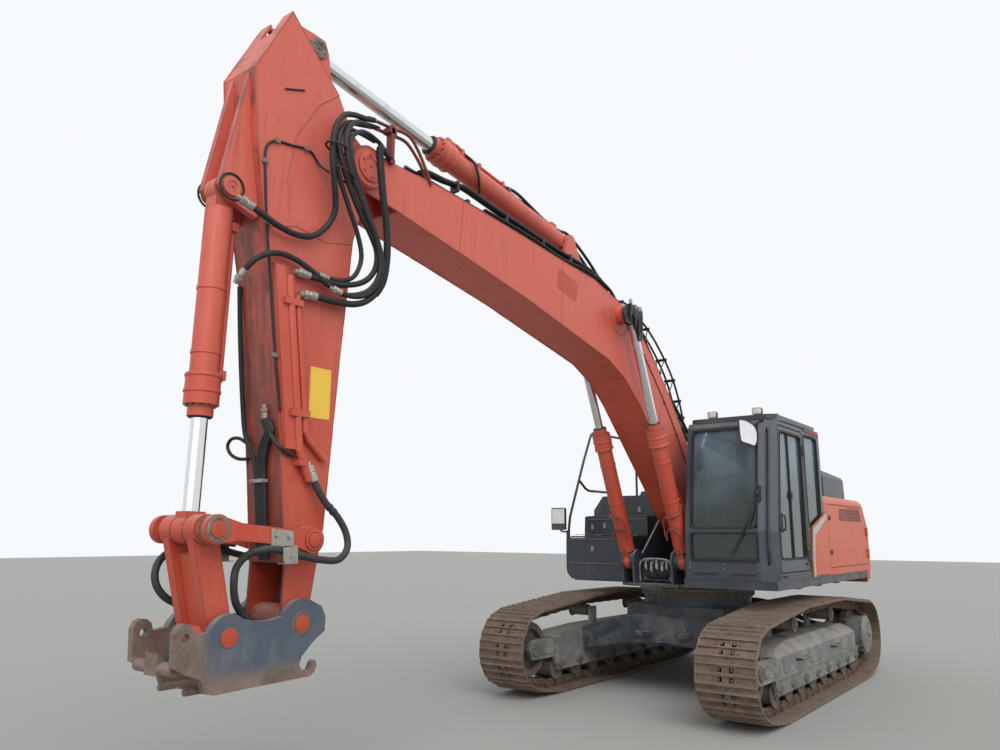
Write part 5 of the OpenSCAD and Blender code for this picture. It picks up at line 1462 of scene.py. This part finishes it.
couplerSet = {
    "clampPlate": [(6.655, 1.702), (6.822, 1.718), (6.826, 1.822), (6.660, 1.805)],
    "clampTongue": [(6.662, 1.612), (6.768, 1.622), (6.778, 1.722), (6.668, 1.712)],
    "pipeEnd": [(6.47, 0.215, 2.14), (6.44, 0.228, 2.08), (6.38, 0.25, 1.985), (6.30, 0.275, 1.90),
        (6.245, 0.30, 1.80), (6.25, 0.325, 1.70), (6.33, 0.335, 1.63), (6.47, 0.333, 1.632), (6.60, 0.328, 1.655),
        (6.715, 0.322, 1.682)],
    "tail": [(6.70, 0.323, 1.679), (6.78, 0.315, 1.694), (6.86, 0.29, 1.70), (6.93, 0.235, 1.672),
        (6.975, 0.19, 1.60), (6.985, 0.185, 1.51), (6.955, 0.165, 1.41), (6.90, 0.145, 1.34), (6.84, 0.14, 1.28)],
    "farTail": [(6.70, -0.323, 1.679), (6.80, -0.318, 1.696), (6.95, -0.315, 1.70), (7.08, -0.31, 1.69),
        (7.165, -0.30, 1.64), (7.205, -0.285, 1.57), (7.20, -0.27, 1.49), (7.15, -0.255, 1.42),
        (7.07, -0.235, 1.375), (6.97, -0.15, 1.345), (6.88, -0.14, 1.28)],
    "hose": 0.0225,
    "sleeve": 0.0235,
}


def makeCouplerTrim(s):
    heads, rings, links, linkRings, front = Shape(), Shape(), Shape(), Shape(), Shape()
    for pin, shape, ring, inner, r, lift in (
        ("tip", heads, rings, 0.236, 0.052, 0.0045),
        ("couplerFront", heads, None, 0.236, 0.055, 0.0045),
        ("linkPin", links, linkRings, 0.289, 0.050, 0.010),
        ("guidePin", front, front, 0.293, 0.044, 0.010),
    ):
        x, z = frontSet[pin]
        dome = [(0, r), (lift, r), (lift + 0.0015, r * 0.9), (lift + 0.0015, r * 0.2)]
        shape.turned((x, inner, z), (0, 1, 0), dome, 32)
        if ring:
            # Columns: share of the lift, share of the radius
            washer = [(0, 1.5), (0.5, 1.5), (0.7, 1.4), (0.7, 1.1), (0.4, 1.06), (0.4, 1)]
            ring.turned((x, inner, z), (0, 1, 0), [(lift * u, r * v) for u, v in washer], 32)
    for shape, name, finish, body in (
        (heads, "couplerPinHeads", freshOrange, "coupler"),
        (rings, "couplerPinRings", rollerSteel, "coupler"),
        (links, "linkPinHeads", freshOrange, "guide_link"),
        (linkRings, "linkPinRings", pinSteel, "guide_link"),
        (front, "guidePinHeads", orangePaint, "arm"),
    ):
        make(name, both(shape), finish, body)
    clamp = Shape()
    clamp.prism(rounded(s["clampPlate"], 0.01), 0.2905, 0.2965)
    clamp.prism(rounded(s["clampTongue"], 0.01), 0.346, 0.352)
    clamp.block((6.668, 0.2905, 1.712), (6.778, 0.352, 1.720))
    clamp.block((6.664, 0.2905, 1.612), (6.768, 0.352, 1.618))
    for centre, size in (((6.695, 0.2965, 1.772), 0.012), ((6.787, 0.2965, 1.780), 0.012),
            ((6.715, 0.352, 1.655), 0.009)):
        clamp.bolt(centre, (0, 1, 0), size)
    make("hoseClamps", both(clamp), chromeFitting, "guide_link", bevel=0.001)
    for name, points, flip, first, second in (
        ("leftCouplerHose", s["pipeEnd"], 1, "arm", "guide_link"),
        ("rightCouplerHose", s["pipeEnd"], -1, "arm", "guide_link"),
        ("leftCouplerTail", s["tail"], 1, "guide_link", "power_link"),
        ("rightCouplerTail", s["farTail"], 1, "guide_link", "power_link"),
    ):
        shape = Shape()
        path = bend([(x, y * flip, z) for x, y, z in points], 6)
        shape.tube(path, s["hose"], 14)
        hose = make(name, shape, guardRubber, None, sharp=50)
        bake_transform(hose)
    ends, wraps = Shape(), Shape()
    hoseEnd(ends, (6.49, 0.211, 2.19), s["pipeEnd"][1], s["sleeve"])
    a, b = (Vector(p) for p in s["pipeEnd"][2:4])
    for t in (0.3, 0.62):
        wraps.turned(a.lerp(b, t), b - a, [(-0.012, s["sleeve"]), (-0.010, 0.0262), (0.010, 0.0262),
            (0.012, s["sleeve"])], 16)
    make("couplerHoseEnds", both(ends), chromeFitting, "arm")
    make("couplerHoseWraps", both(wraps), blackPlastic, "arm")


makeCouplerTrim(couplerSet)

# Each line: pin, pin that the rod points to, Y, radius and half width of the eye, body

rodEyeSet = {
    "boomLeft": ("boomEye", "boomCylinderFoot", 0.35, 0.100, 0.038, "boom_cylinder_rod_left"),
    "boomRight": ("boomEye", "boomCylinderFoot", -0.35, 0.100, 0.038, "boom_cylinder_rod_right"),
    "arm": ("armEye", "armCylinderFoot", 0.0, 0.095, 0.062, "arm_cylinder_rod"),
    "coupler": ("linkPin", "couplerCylinderFoot", 0.0, 0.085, 0.058, "coupler_cylinder_rod"),
}


def makeRodEyes(s):
    # Painted eyes of the rods, each with the block that carries it and a grease nipple
    for name, (pin, foot, y, radius, half, body) in s.items():
        (x, z), (u, w) = frontSet[pin], frontSet[foot]
        centre = Vector((x, y, z))
        along = Vector((u - x, 0, w - z)).normalized()
        across = Vector((0, 1, 0)).cross(along)
        eye = Shape()
        eye.turned(centre - Vector((0, half + 0.0008, 0)), (0, 1, 0), [(0, radius * 0.93), (0.004, radius + 0.002),
            (2 * half - 0.0024, radius + 0.002), (2 * half + 0.0016, radius * 0.93)], 44)
        turn = Matrix((along, (0, 1, 0), across)).transposed()
        wide = radius * 0.7 + 0.002
        eye.block((radius * 0.45, -half - 0.0008, -wide), (radius + 0.0175, half + 0.0008, wide), turn, centre)
        eye.turned(centre - across * (radius - 0.004), -across, [(0, 0.011), (0.016, 0.011), (0.022, 0.006)], 10)
        make(name + "RodEye", eye, blackTube if name.startswith("boom") else orangePaint, body, bevel=0.0012)
    washers = Shape()
    x, z = frontSet["linkPin"]
    for y in (0.0665, -0.082, 0.184, -0.1995):
        washers.turned((x, y, z), (0, 1, 0), [(0, 0.072), (0.0155, 0.072)], 36)
    make("pinWashers", washers, brassSteel, "guide_link")


makeRodEyes(rodEyeSet)
print("coupler and links dressed")

# Foot of the boom: guard and fittings at the cylinder's eye, standing pipes, pipes between the cylinders

footSet = {
    "guard": [(2.10, 4.25), (2.10, 4.06), (2.13, 3.90), (2.20, 3.875), (2.26, 4.00), (2.36, 4.03), (2.49, 4.03),
        (2.535, 4.13), (2.50, 4.23), (2.38, 4.27)],
    "outer": [(2.34, 4.36), (2.02, 4.40), (1.666, 4.30), (1.276, 4.10), (0.90, 3.80), (0.69, 3.52), (0.57, 3.25),
        (0.50, 2.98)],
    "inner": [(2.20, 4.30), (1.88, 4.22), (1.576, 4.08), (1.191, 3.72), (0.90, 3.40), (0.69, 3.14), (0.571, 2.93)],
    "rungs": (0.12, 0.36, 0.52, 0.64, 0.75, 0.86),  # shares of the pipes' length
    "rows": (0.06, 0.15),
    # Pipes over a boom cylinder: X, distance from the machine's middle, Z
    "across": [(1.38, 0.452, 2.14), (1.41, 0.45, 2.05), (1.455, 0.41, 2.0), (1.462, 0.35, 1.995),
        (1.455, 0.285, 1.985), (1.43, 0.25, 1.93), (1.40, 0.247, 1.85), (1.385, 0.247, 1.78)],
    "arc": [(1.33, 0.446, 1.70), (1.375, 0.43, 1.79), (1.402, 0.37, 1.86), (1.400, 0.31, 1.865),
        (1.375, 0.262, 1.82), (1.35, 0.25, 1.74)],
    "bar": [(-0.235, 1.27), (-0.235, 1.44), (-0.20, 1.505), (-0.11, 1.525), (0.04, 1.525), (0.13, 1.508),
        (0.17, 1.44), (0.17, 1.27)],
    "ports": (-0.16, -0.09, -0.02, 0.05, 0.11),
}


def makeBoomFoot(s):
    guard, pipes, rungs, silver = Shape(), Shape(), Shape(), Shape()
    x, z = frontSet["boomEye"]
    guard.prism(rounded(s["guard"], 0.02), 0.404, 0.412)
    guard.turned((x, 0.3985, z), (0, 1, 0), [(0, 0.085), (0.03, 0.085), (0.036, 0.075), (0.036, 0.02)], 32)
    for dx, dz, length in ((-0.10, -0.04, 0.11), (-0.05, -0.05, 0.15), (0.02, -0.04, 0.10), (0.12, 0.0, 0.07)):
        low = x + dx * 1.1
        path = [(x + dx, 0.425, z + dz + 0.08), (x + dx, 0.434, z + dz), (low, 0.425, z + dz - length),
            (low - 0.02, 0.405, z + dz - length - 0.05)]
        guard.tube(bend(path), 0.014)
        silver.turned((x + dx, 0.425, z + dz + 0.075), (0, 0, 1), [(0, 0.019), (0.035, 0.019), (0.038, 0.014),
            (0.05, 0.014)], 6)
    for y in s["rows"]:
        pipes.tube(bend([(x, y, z) for x, z in s["outer"]], 8), 0.013, 12)
        pipes.tube(bend([(x, y, z) for x, z in s["inner"]], 8), 0.011, 10)
    outer = bend([(x, 0, z) for x, z in s["outer"]], 8)
    inner = bend([(x, 0, z) for x, z in s["inner"]], 8)
    for share in s["rungs"]:
        a, b = outer[int(share * (len(outer) - 1))], inner[int(share * (len(inner) - 1))]
        for y in s["rows"]:
            rungs.tube([(a.x, y, a.z), (b.x, y, b.z)], 0.007, 8)
        for end, radius in ((a, 0.018), (b, 0.016)):
            rungs.tube([(end.x, 0.035, end.z), (end.x, 0.175, end.z)], radius, 10)
    make("eyeGuard", guard, blackTube, "boom", bevel=0.0015)
    make("eyeFittings", silver, chromeFitting, "boom")
    make("standingPipes", pipes, blackTube, "boom")
    make("standingRungs", rungs, blackTube, "boom")
    # Thin pipes across, each half on its own cylinder, and the arcs below them
    for side, name in ((-1, "right"), (1, "left")):
        red = Shape()
        for run, radius in (("across", 0.0095), ("arc", 0.011)):
            red.tube(bend([(x, side * y, z) for x, y, z in s[run]], 8), radius, 12)
        for x, z in ((1.452, 1.995), (1.392, 1.862)):
            red.block((x - 0.012, side * 0.35 - 0.035, z - 0.018), (x + 0.018, side * 0.35 + 0.035, z + 0.018))
        make(name + "CylinderPipes", red, fadedRed, "boom_cylinder_" + name)
    # Bulkhead with hoses in front of the foot
    hoses, plate, fit = Shape(), Shape(), Shape()
    fit.tube(bend([(1.10, y, z) for y, z in s["bar"]], 8), 0.010, 12)
    plate.block((1.03, -0.225, 1.27), (1.042, 0.16, 1.515))
    for k, y in enumerate(s["ports"]):
        top = 1.488 - 0.025 * (k % 2)
        fit.turned((1.09, y, top), (0, 0, -1), [(0, 0.012), (0.02, 0.012), (0.022, 0.018), (0.055, 0.018),
            (0.057, 0.015), (0.09, 0.015)], 12)
        fit.turned((1.042, y, top + 0.012), (1, 0, 0), [(0, 0.017), (0.03, 0.017), (0.034, 0.012), (0.055, 0.012)],
            6)
        hoses.tube(bend([(1.09, y, top - 0.075), (1.095, y, top - 0.11), (1.07 + 0.02 * (k % 2), y * 0.8, 1.32),
            (0.99, y * 0.5, 1.275), (0.90, y * 0.4, 1.262)], 6), 0.0145, 12)
    fit.boltGrid([1.042], (-0.19, 0.13), (1.30, 1.49), (1, 0, 0), 0.009)
    make("footHoses", hoses, hoseRubber, "upper")
    make("footPlate", plate, darkPaint, "upper", bevel=0.002)
    make("footFittings", fit, chromeFitting, "upper")


makeBoomFoot(footSet)
print("boom foot dressed")

# Right side, roof and rear: steps, tank, hood, exhaust, mirror, counterweight

deckSet = {
    "lowerStep": (0.345, 0.735, -1.385, -0.53, 1.801),
    "upperStep": (0.02, 0.28, -1.42, -0.54, 2.05),
    "tankTop": (-1.10, -0.06, -1.30, -0.62, 2.33),
    "leftRoof": (-2.20, -0.65, 0.66, 1.34, 2.30),
    "railFeet": [(0.70, 1.7605), (-1.28, 2.187), (-0.50, 2.187)],
    "catches": [(0.741, -1.09, 1.624), (0.301, -1.34, 1.905), (0.301, -1.15, 1.922), (0.001, -0.78, 2.142)],
    "wall": -1.4925,  # Y of the tank's outer face
    "cover": (-0.80, 1.70),
    "mirror": 0.741,
}


def treadPlate(shape, s, gap=0.075):
    # Thin plate with rows of raised studs, every other row shifted
    x0, x1, y0, y1, z = s
    shape.prism(panel(x0, y0, x1, y1, 0.02), z, z + 0.003, flatways)
    rows, columns = int((x1 - x0) / gap), int((y1 - y0) / gap)
    for i in range(rows):
        for k in range(columns - i % 2):
            at = (x0 + (i + 0.5) * (x1 - x0) / rows, y0 + (k + 0.5 + 0.5 * (i % 2)) * (y1 - y0) / columns,
                z + 0.002)
            shape.turned(at, (0, 0, 1), [(0, 0.014), (0.004, 0.012), (0.006, 0.008)], 10)


def makeDecks(s):
    for name, body in (("lowerStep", "tool_box_lid"), ("upperStep", "upper"), ("tankTop", "upper"),
            ("leftRoof", "upper")):
        plate = Shape()
        treadPlate(plate, s[name])
        make(name + "Tread", plate, treadSteel, body)
    catches, dark, steel = Shape(), Shape(), Shape()
    wall, mirror = s["wall"], s["mirror"]
    for x, y, z in s["catches"]:
        catches.block((x, y - 0.02, z - 0.032), (x + 0.006, y + 0.02, z + 0.032))
        catches.tube([(x + 0.012, y - 0.014, z + 0.018), (x + 0.012, y + 0.014, z + 0.018)], 0.006, 10)
        catches.block((x + 0.008, y - 0.010, z - 0.03), (x + 0.015, y + 0.010, z + 0.016))
    # Folded ridges and seams on the fronts of the boxes
    for z in (1.735, 1.432):
        dark.prism([(0.7395, z - 0.012), (0.7395, z + 0.012), (0.746, z + 0.004), (0.746, z - 0.004)], -1.44, -0.55)
    dark.prism([(0.2995, 1.99), (0.2995, 2.014), (0.306, 2.006), (0.306, 1.998)], -1.42, -0.55)
    dark.prism(panel(-1.30, 1.38, 0.16, 1.40, 0.009), wall - 0.005, wall)
    steel.boltGrid((-1.26, -0.9, -0.45, -0.06), [wall], (1.42, 2.05), (0, -1, 0), 0.010)
    # Filler cap, level gauge, round cover of the tank
    dark.turned((-0.22, -0.80, 2.333), (0, 0, 1), [(0, 0.075), (0.02, 0.075), (0.022, 0.062), (0.05, 0.062),
        (0.056, 0.055), (0.056, 0.02)], 36)
    dark.block((-0.275, -0.812, 2.386), (-0.165, -0.788, 2.398))
    x, z = s["cover"]
    dark.turned((x, wall, z), (0, -1, 0), [(0, 0.13), (0.008, 0.13), (0.011, 0.12), (0.011, 0.02)], 40)
    steel.circleOfBolts((x, wall - 0.011, z), (0, -1, 0), 0.108, 8, 0.008)
    dark.block((-0.20, wall - 0.0065, 1.55), (-0.165, wall, 1.95))
    for x, z in s["railFeet"]:
        steel.turned((x, -1.474, z), (0, 0, 1), [(-0.002, 0.034), (0.006, 0.034), (0.012, 0.02)], 20)
    make("boxCatches", catches, chromeFitting, "upper")
    make("boxRidges", dark, darkPaint, "upper", bevel=0.001)
    make("deckSteel", steel, pinSteel, "upper")
    glass, rim = Shape(), Shape()
    glass.prism(panel(-1.712, 1.945, -1.51, 2.144, 0.012), mirror + 0.001, mirror + 0.0035, frontways)
    rim.strip(panel(-1.718, 1.939, -1.504, 2.15, 0.014), 0.008, mirror, mirror + 0.007, frontways)
    rim.prism(panel(-1.715, 1.868, -1.507, 1.934, 0.012), mirror, mirror + 0.005, frontways)
    # Its face is near white: painted reflection of the sky
    make("farMirrorFace", glass, mirrorFace, "upper")
    make("farMirrorRim", rim, greyPlastic, "upper")


makeDecks(deckSet)

rearSet = {
    "tail": 3.36,
    "seam": 3.36 * 0.9985,  # just inside the tail's face, so that nothing on it stands past the tail
    "lamps": 1.0,
    "bosses": 0.55,
    "hoodTop": [(-2.47, 2.632), (-1.60, 2.688)],
    "exhaust": (-2.38, -1.18),
}


def makeRear(s):
    housing, lens, seams, eye, slats, band = Shape(), Shape(), Shape(), Shape(), Shape(), Shape()
    for side in (1, -1):
        a = math.atan2(side * s["lamps"], -math.sqrt(s["tail"] ** 2 - s["lamps"] ** 2))
        turn = Matrix.Rotation(a, 3, "Z")
        tail = s["tail"]
        housing.block((tail - 0.03, -0.10, 1.30), (tail - 0.001, 0.10, 1.40), turn)
        for y0, y1 in ((-0.085, 0.005), (0.02, 0.085)):
            lens.block((tail - 0.002, y0, 1.315), (tail + 0.006, y1, 1.385), turn)
        for z in (1.55, 2.02):
            b = math.atan2(side * s["bosses"], -math.sqrt(s["tail"] ** 2 - s["bosses"] ** 2))
            boss = [(0, 0.034), (0.005, 0.034), (0.005, 0.022), (0.002, 0.02)]
            seams.turned((*polar(s["seam"], b), z), (*polar(1, b), 0), boss, 24)
        # Covers of the big bolts on top
        seams.turned((-2.95, side * 0.35, 2.2995), (0, 0, 1), [(0, 0.06), (0.01, 0.06), (0.014, 0.05),
            (0.014, 0.01)], 28)
        seams.prism(panel(-2.74, side * 1.30 - 0.03, -2.68, side * 1.30 + 0.03, 0.01), 2.2, 2.262, flatways)
    # Casting seam round the tail, a little proud
    seams.tube([(*polar(s["seam"], math.pi + k * 0.0135), 1.78) for k in range(-20, 21)], 0.004, 6)
    eye.block((-3.17, -0.035, 2.30), (-3.09, 0.035, 2.345))
    eye.turned((-3.165, 0, 2.325), (-1, 0, -0.15), [(0, 0.022), (0.02, 0.022), (0.022, 0.016)], 18)
    make("rearLampHousings", housing, blackPlastic, "upper", bevel=0.003)
    make("rearLampLenses", lens, redLens, "upper", bevel=0.002)
    make("weightDetails", seams, weightPaint, "upper")
    make("rearCamera", eye, blackPlastic, "upper", bevel=0.002)
    # Louvres, handles and rubber catches of the engine hood
    (x0, z0), (x1, z1) = s["hoodTop"]
    for y0, y1 in ((-0.70, -0.12), (0.42, 1.0)):
        for k in range(13):
            x = x0 + 0.10 + 0.055 * k
            z = z0 + (z1 - z0) * (x - x0) / (x1 - x0)
            slats.block((-0.018, y0, -0.002), (0.018, y1, 0.004), Matrix.Rotation(-0.5, 3, "Y"), (x, 0, z + 0.004))
    for y in (-0.55, 0.14, 0.83):
        slats.tube(bend([(-2.552, y - 0.07, 2.45), (-2.585, y - 0.06, 2.45), (-2.585, y + 0.06, 2.45),
            (-2.552, y + 0.07, 2.45)], 6), 0.008, 10)
    for y in (-0.8, 1.08):
        slats.block((-2.568, y - 0.02, 2.31), (-2.552, y + 0.02, 2.40))
    make("hoodDetails", slats, darkPaint, "engine_hood")
    at = s["exhaust"]
    band.turned((*at, 2.42), (0, 0, 1), [(0, 0.0695), (0, 0.076), (0.022, 0.076), (0.022, 0.0695)], 36)
    band.block((at[0] + 0.068, at[1] - 0.014, 2.42), (at[0] + 0.105, at[1] + 0.014, 2.442))
    band.turned((*at, 2.301), (0, 0, 1), [(0, 0.10), (0.006, 0.10), (0.006, 0.069)], 36)
    band.circleOfBolts((*at, 2.307), (0, 0, 1), 0.087, 6, 0.007)
    make("exhaustBand", band, rollerSteel, "upper")


makeRear(rearSet)
print("decks and rear dressed")

# Hoses on the arm's front, pipes and ports of the arm cylinder, hoses along the boom's top

runSet = {
    "frontMiddle": [(6.748, 0.06, 2.50), (6.742, 0.10, 2.43), (6.735, 0.05, 2.355), (6.725, 0.015, 2.27),
        (6.712, 0.0, 2.187), (6.70, 0.0, 2.075), (6.688, 0.0, 1.964), (6.672, 0.0, 1.80), (6.652, 0.0, 1.63)],
    "frontFar": [(6.862, -0.155, 3.40), (6.83, -0.16, 3.10), (6.80, -0.162, 2.85), (6.767, -0.162, 2.60),
        (6.745, -0.15, 2.43), (6.732, -0.095, 2.316), (6.715, -0.06, 2.217), (6.70, -0.05, 2.076),
        (6.68, -0.05, 1.90), (6.655, -0.05, 1.65)],
    "loop": [(6.73, -0.13, 2.36), (6.75, -0.197, 2.40), (6.75, -0.285, 2.402), (6.75, -0.325, 2.358),
        (6.75, -0.283, 2.302), (6.74, -0.21, 2.269), (6.72, -0.13, 2.264)],
    "round": [(6.742, 0.10, 2.43), (6.748, 0.155, 2.37), (6.735, 0.196, 2.325), (6.70, 0.203, 2.30),
        (6.655, 0.203, 2.285), (6.62, 0.200, 2.27)],
    "bundle": [(5.52, 4.645), (5.42, 4.69), (5.2, 4.70), (4.95, 4.73), (4.75, 4.715), (4.508, 4.688), (4.16, 4.66),
        (3.59, 4.612), (3.06, 4.585), (2.80, 4.56), (2.60, 4.51), (2.45, 4.445)],
    "overCylinder": [(4.155, 5.062), (4.06, 5.072), (3.93, 5.06), (3.70, 5.00), (3.52, 4.955), (3.34, 4.925),
        (3.20, 4.925), (3.08, 4.938), (2.93, 4.90), (2.745, 4.82), (2.52, 4.70), (2.38, 4.60), (2.28, 4.46)],
    "straps": [(5.05, 4.722), (4.35, 4.674), (3.75, 4.626), (3.25, 4.594), (2.75, 4.55)],
    "frontHose": 0.0155,
    "thinHose": 0.0115,
    "branchHose": 0.013,
    "topHose": 0.018,
    "liftedHose": 0.0165,
}


def makeRuns(s):
    hoses, ends = Shape(), Shape()
    for shift in (-0.030, 0.0, 0.030):
        hoses.tube(bend([(x, y + shift, z) for x, y, z in s["frontMiddle"]], 6), s["frontHose"], 12)
    hoses.tube(bend(s["frontFar"], 6), s["frontHose"], 12)
    hoses.tube(bend(s["loop"], 6), s["thinHose"], 10)
    hoses.tube(bend(s["round"], 6), s["branchHose"], 10)
    hoseEnd(ends, (6.756, 0.058, 2.56), (6.748, 0.06, 2.50), s["frontHose"])
    for x, z in ((6.71, 2.12), (6.675, 1.80)):
        ends.block((x - 0.016, -0.085, z - 0.011), (x + 0.021, 0.052, z + 0.011))
        ends.boltGrid([x + 0.021], (-0.074, 0.041), [z], (1, 0, 0), 0.007)
    make("armFrontHoses", hoses, hoseRubber, "arm")
    make("armFrontFittings", ends, chromeFitting, "arm")
    # Ports at the gland of the arm cylinder and the two pipes that lead back along its barrel
    (x, z), (u, w) = frontSet["armCylinderFoot"], frontSet["armEye"]
    along = Vector((u - x, 0, w - z)).normalized()
    up = along.cross(Vector((0, 1, 0)))
    turn = Matrix((along, (0, 1, 0), up)).transposed()
    foot = Vector((x, 0, z))

    def on(d, y, h):
        return foot + along * d + up * h + Vector((0, y, 0))

    coat, steel, black = Shape(), Shape(), Shape()
    for low, high in (((1.86, -0.055, 0.085), (1.97, 0.055, 0.150)), ((1.895, -0.035, 0.150),
            (1.945, 0.035, 0.176)), ((1.70, -0.06, 0.088), (1.775, 0.06, 0.128)), ((1.725, -0.05, 0.128),
            (1.76, 0.05, 0.160)), ((0.20, -0.045, 0.085), (0.29, 0.045, 0.135))):
        coat.block(low, high, turn, foot)
    for y in (-0.032, 0.032):
        coat.tube(bend([on(1.88, y, 0.14), on(1.83, y, 0.158), on(1.77, y, 0.150), on(1.68, y, 0.132),
            on(1.40, y, 0.128), on(1.07, y, 0.128)], 6), 0.0135, 12)
        steel.turned(on(1.075, y, 0.128), -along, [(0, 0.017), (0.03, 0.017), (0.032, 0.021), (0.06, 0.021)], 6)
        for dy in (-0.012, 0.012):
            steel.bolt(on(1.88 + dy * 3, y, 0.150), up, 0.006)
    for d in (1.50, 1.14):
        coat.block((d - 0.015, -0.055, 0.098), (d + 0.015, 0.055, 0.148), turn, foot)
        steel.bolt(on(d, 0.0, 0.148), up, 0.008)
    black.tube(bend([on(1.74, 0.05, 0.12), on(1.66, 0.112, 0.05), on(1.60, 0.124, -0.04), on(1.54, 0.095, -0.10),
        on(1.46, 0.03, -0.118), on(1.40, -0.03, -0.118)], 8), 0.012, 10)
    make("armCylinderPorts", coat, orangePaint, "arm_cylinder", bevel=0.002)
    make("armCylinderFittings", steel, pinSteel, "arm_cylinder")
    make("armCylinderHose", black, hoseRubber, "arm_cylinder")
    bundle, straps = Shape(), Shape()
    for y in (0.140, 0.178):
        bundle.tube(bend([(x, y, z) for x, z in s["bundle"]], 6), s["topHose"], 12)
    for x, z in s["straps"]:
        straps.block((x - 0.014, 0.116, z - 0.075), (x + 0.014, 0.202, z + 0.023))
    make("boomHoseBundle", bundle, hoseRubber, "boom")
    make("boomHoseStraps", straps, blackTube, "boom", bevel=0.003)
    for y, name in ((-0.030, "farLiftedHose"), (0.032, "nearLiftedHose")):
        shape = Shape()
        shape.tube(bend([(x, y, z) for x, z in s["overCylinder"]], 8), s["liftedHose"], 12)
        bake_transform(make(name, shape, hoseRubber, None))


makeRuns(runSet)
print("hose runs made")

# Floor, sky and studio light

studioSet = {
    "floor": (0.34, 0.34, 0.325),
    "roughness": 0.85,
    "reach": 60,
    "sky": (0.93, 0.95, 0.97),
    "ambient": 0.66,
    # Where each soft lamp stands, its strength and its width in degrees
    "lamps": {"overcast": ((0.40, 0.55, 0.73), 1.75, 50), "fill": ((0.86, 0.47, 0.16), 0.75, 70)},
}


def makeFloor(s):
    mesh = bpy.data.meshes.new("floor")
    r = s["reach"]
    mesh.from_pydata([(-r, -r, 0), (r, -r, 0), (r, r, 0), (-r, r, 0)], [], [(0, 1, 2, 3)])
    floor = bpy.data.objects.new("floor", mesh)
    bpy.context.collection.objects.link(floor)
    p = Paint("floorConcrete", Roughness=s["roughness"])
    p.feed(p.shader.inputs["Base Color"], s["floor"])
    mesh.materials.append(p.material)


def makeLight(s):
    world = bpy.data.worlds.new("studio")
    bpy.context.scene.world = world
    world.use_nodes = True
    tree = world.node_tree
    tree.nodes.clear()
    light, seen, mixed, output = (
        tree.nodes.new(k)
        for k in ("ShaderNodeBackground", "ShaderNodeBackground", "ShaderNodeMixShader", "ShaderNodeOutputWorld")
    )
    for shader, strength in ((light, s["ambient"]), (seen, 1.0)):
        shader.inputs[0].default_value = (*s["sky"], 1)
        shader.inputs[1].default_value = strength
    rays = tree.nodes.new("ShaderNodeLightPath")
    glossy = tree.nodes.new("ShaderNodeMath")
    glossy.operation = "MAXIMUM"
    tree.links.new(rays.outputs["Is Camera Ray"], glossy.inputs[0])
    tree.links.new(rays.outputs["Is Glossy Ray"], glossy.inputs[1])
    clear = tree.nodes.new("ShaderNodeMath")
    clear.operation = "MAXIMUM"
    tree.links.new(glossy.outputs[0], clear.inputs[0])
    tree.links.new(rays.outputs["Is Transmission Ray"], clear.inputs[1])
    tree.links.new(clear.outputs[0], mixed.inputs[0])
    tree.links.new(light.outputs[0], mixed.inputs[1])
    tree.links.new(seen.outputs[0], mixed.inputs[2])
    tree.links.new(mixed.outputs[0], output.inputs[0])
    for name, (towards, energy, width) in s["lamps"].items():
        data = bpy.data.lights.new(name, "SUN")
        data.energy = energy
        data.angle = math.radians(width)
        lamp = bpy.data.objects.new(name, data)
        bpy.context.collection.objects.link(lamp)
        lamp.rotation_euler = Vector(towards).to_track_quat("Z", "Y").to_euler()
    bpy.context.scene.view_settings.view_transform = "Standard"


makeFloor(studioSet)
makeLight(studioSet)
print("stage lit")
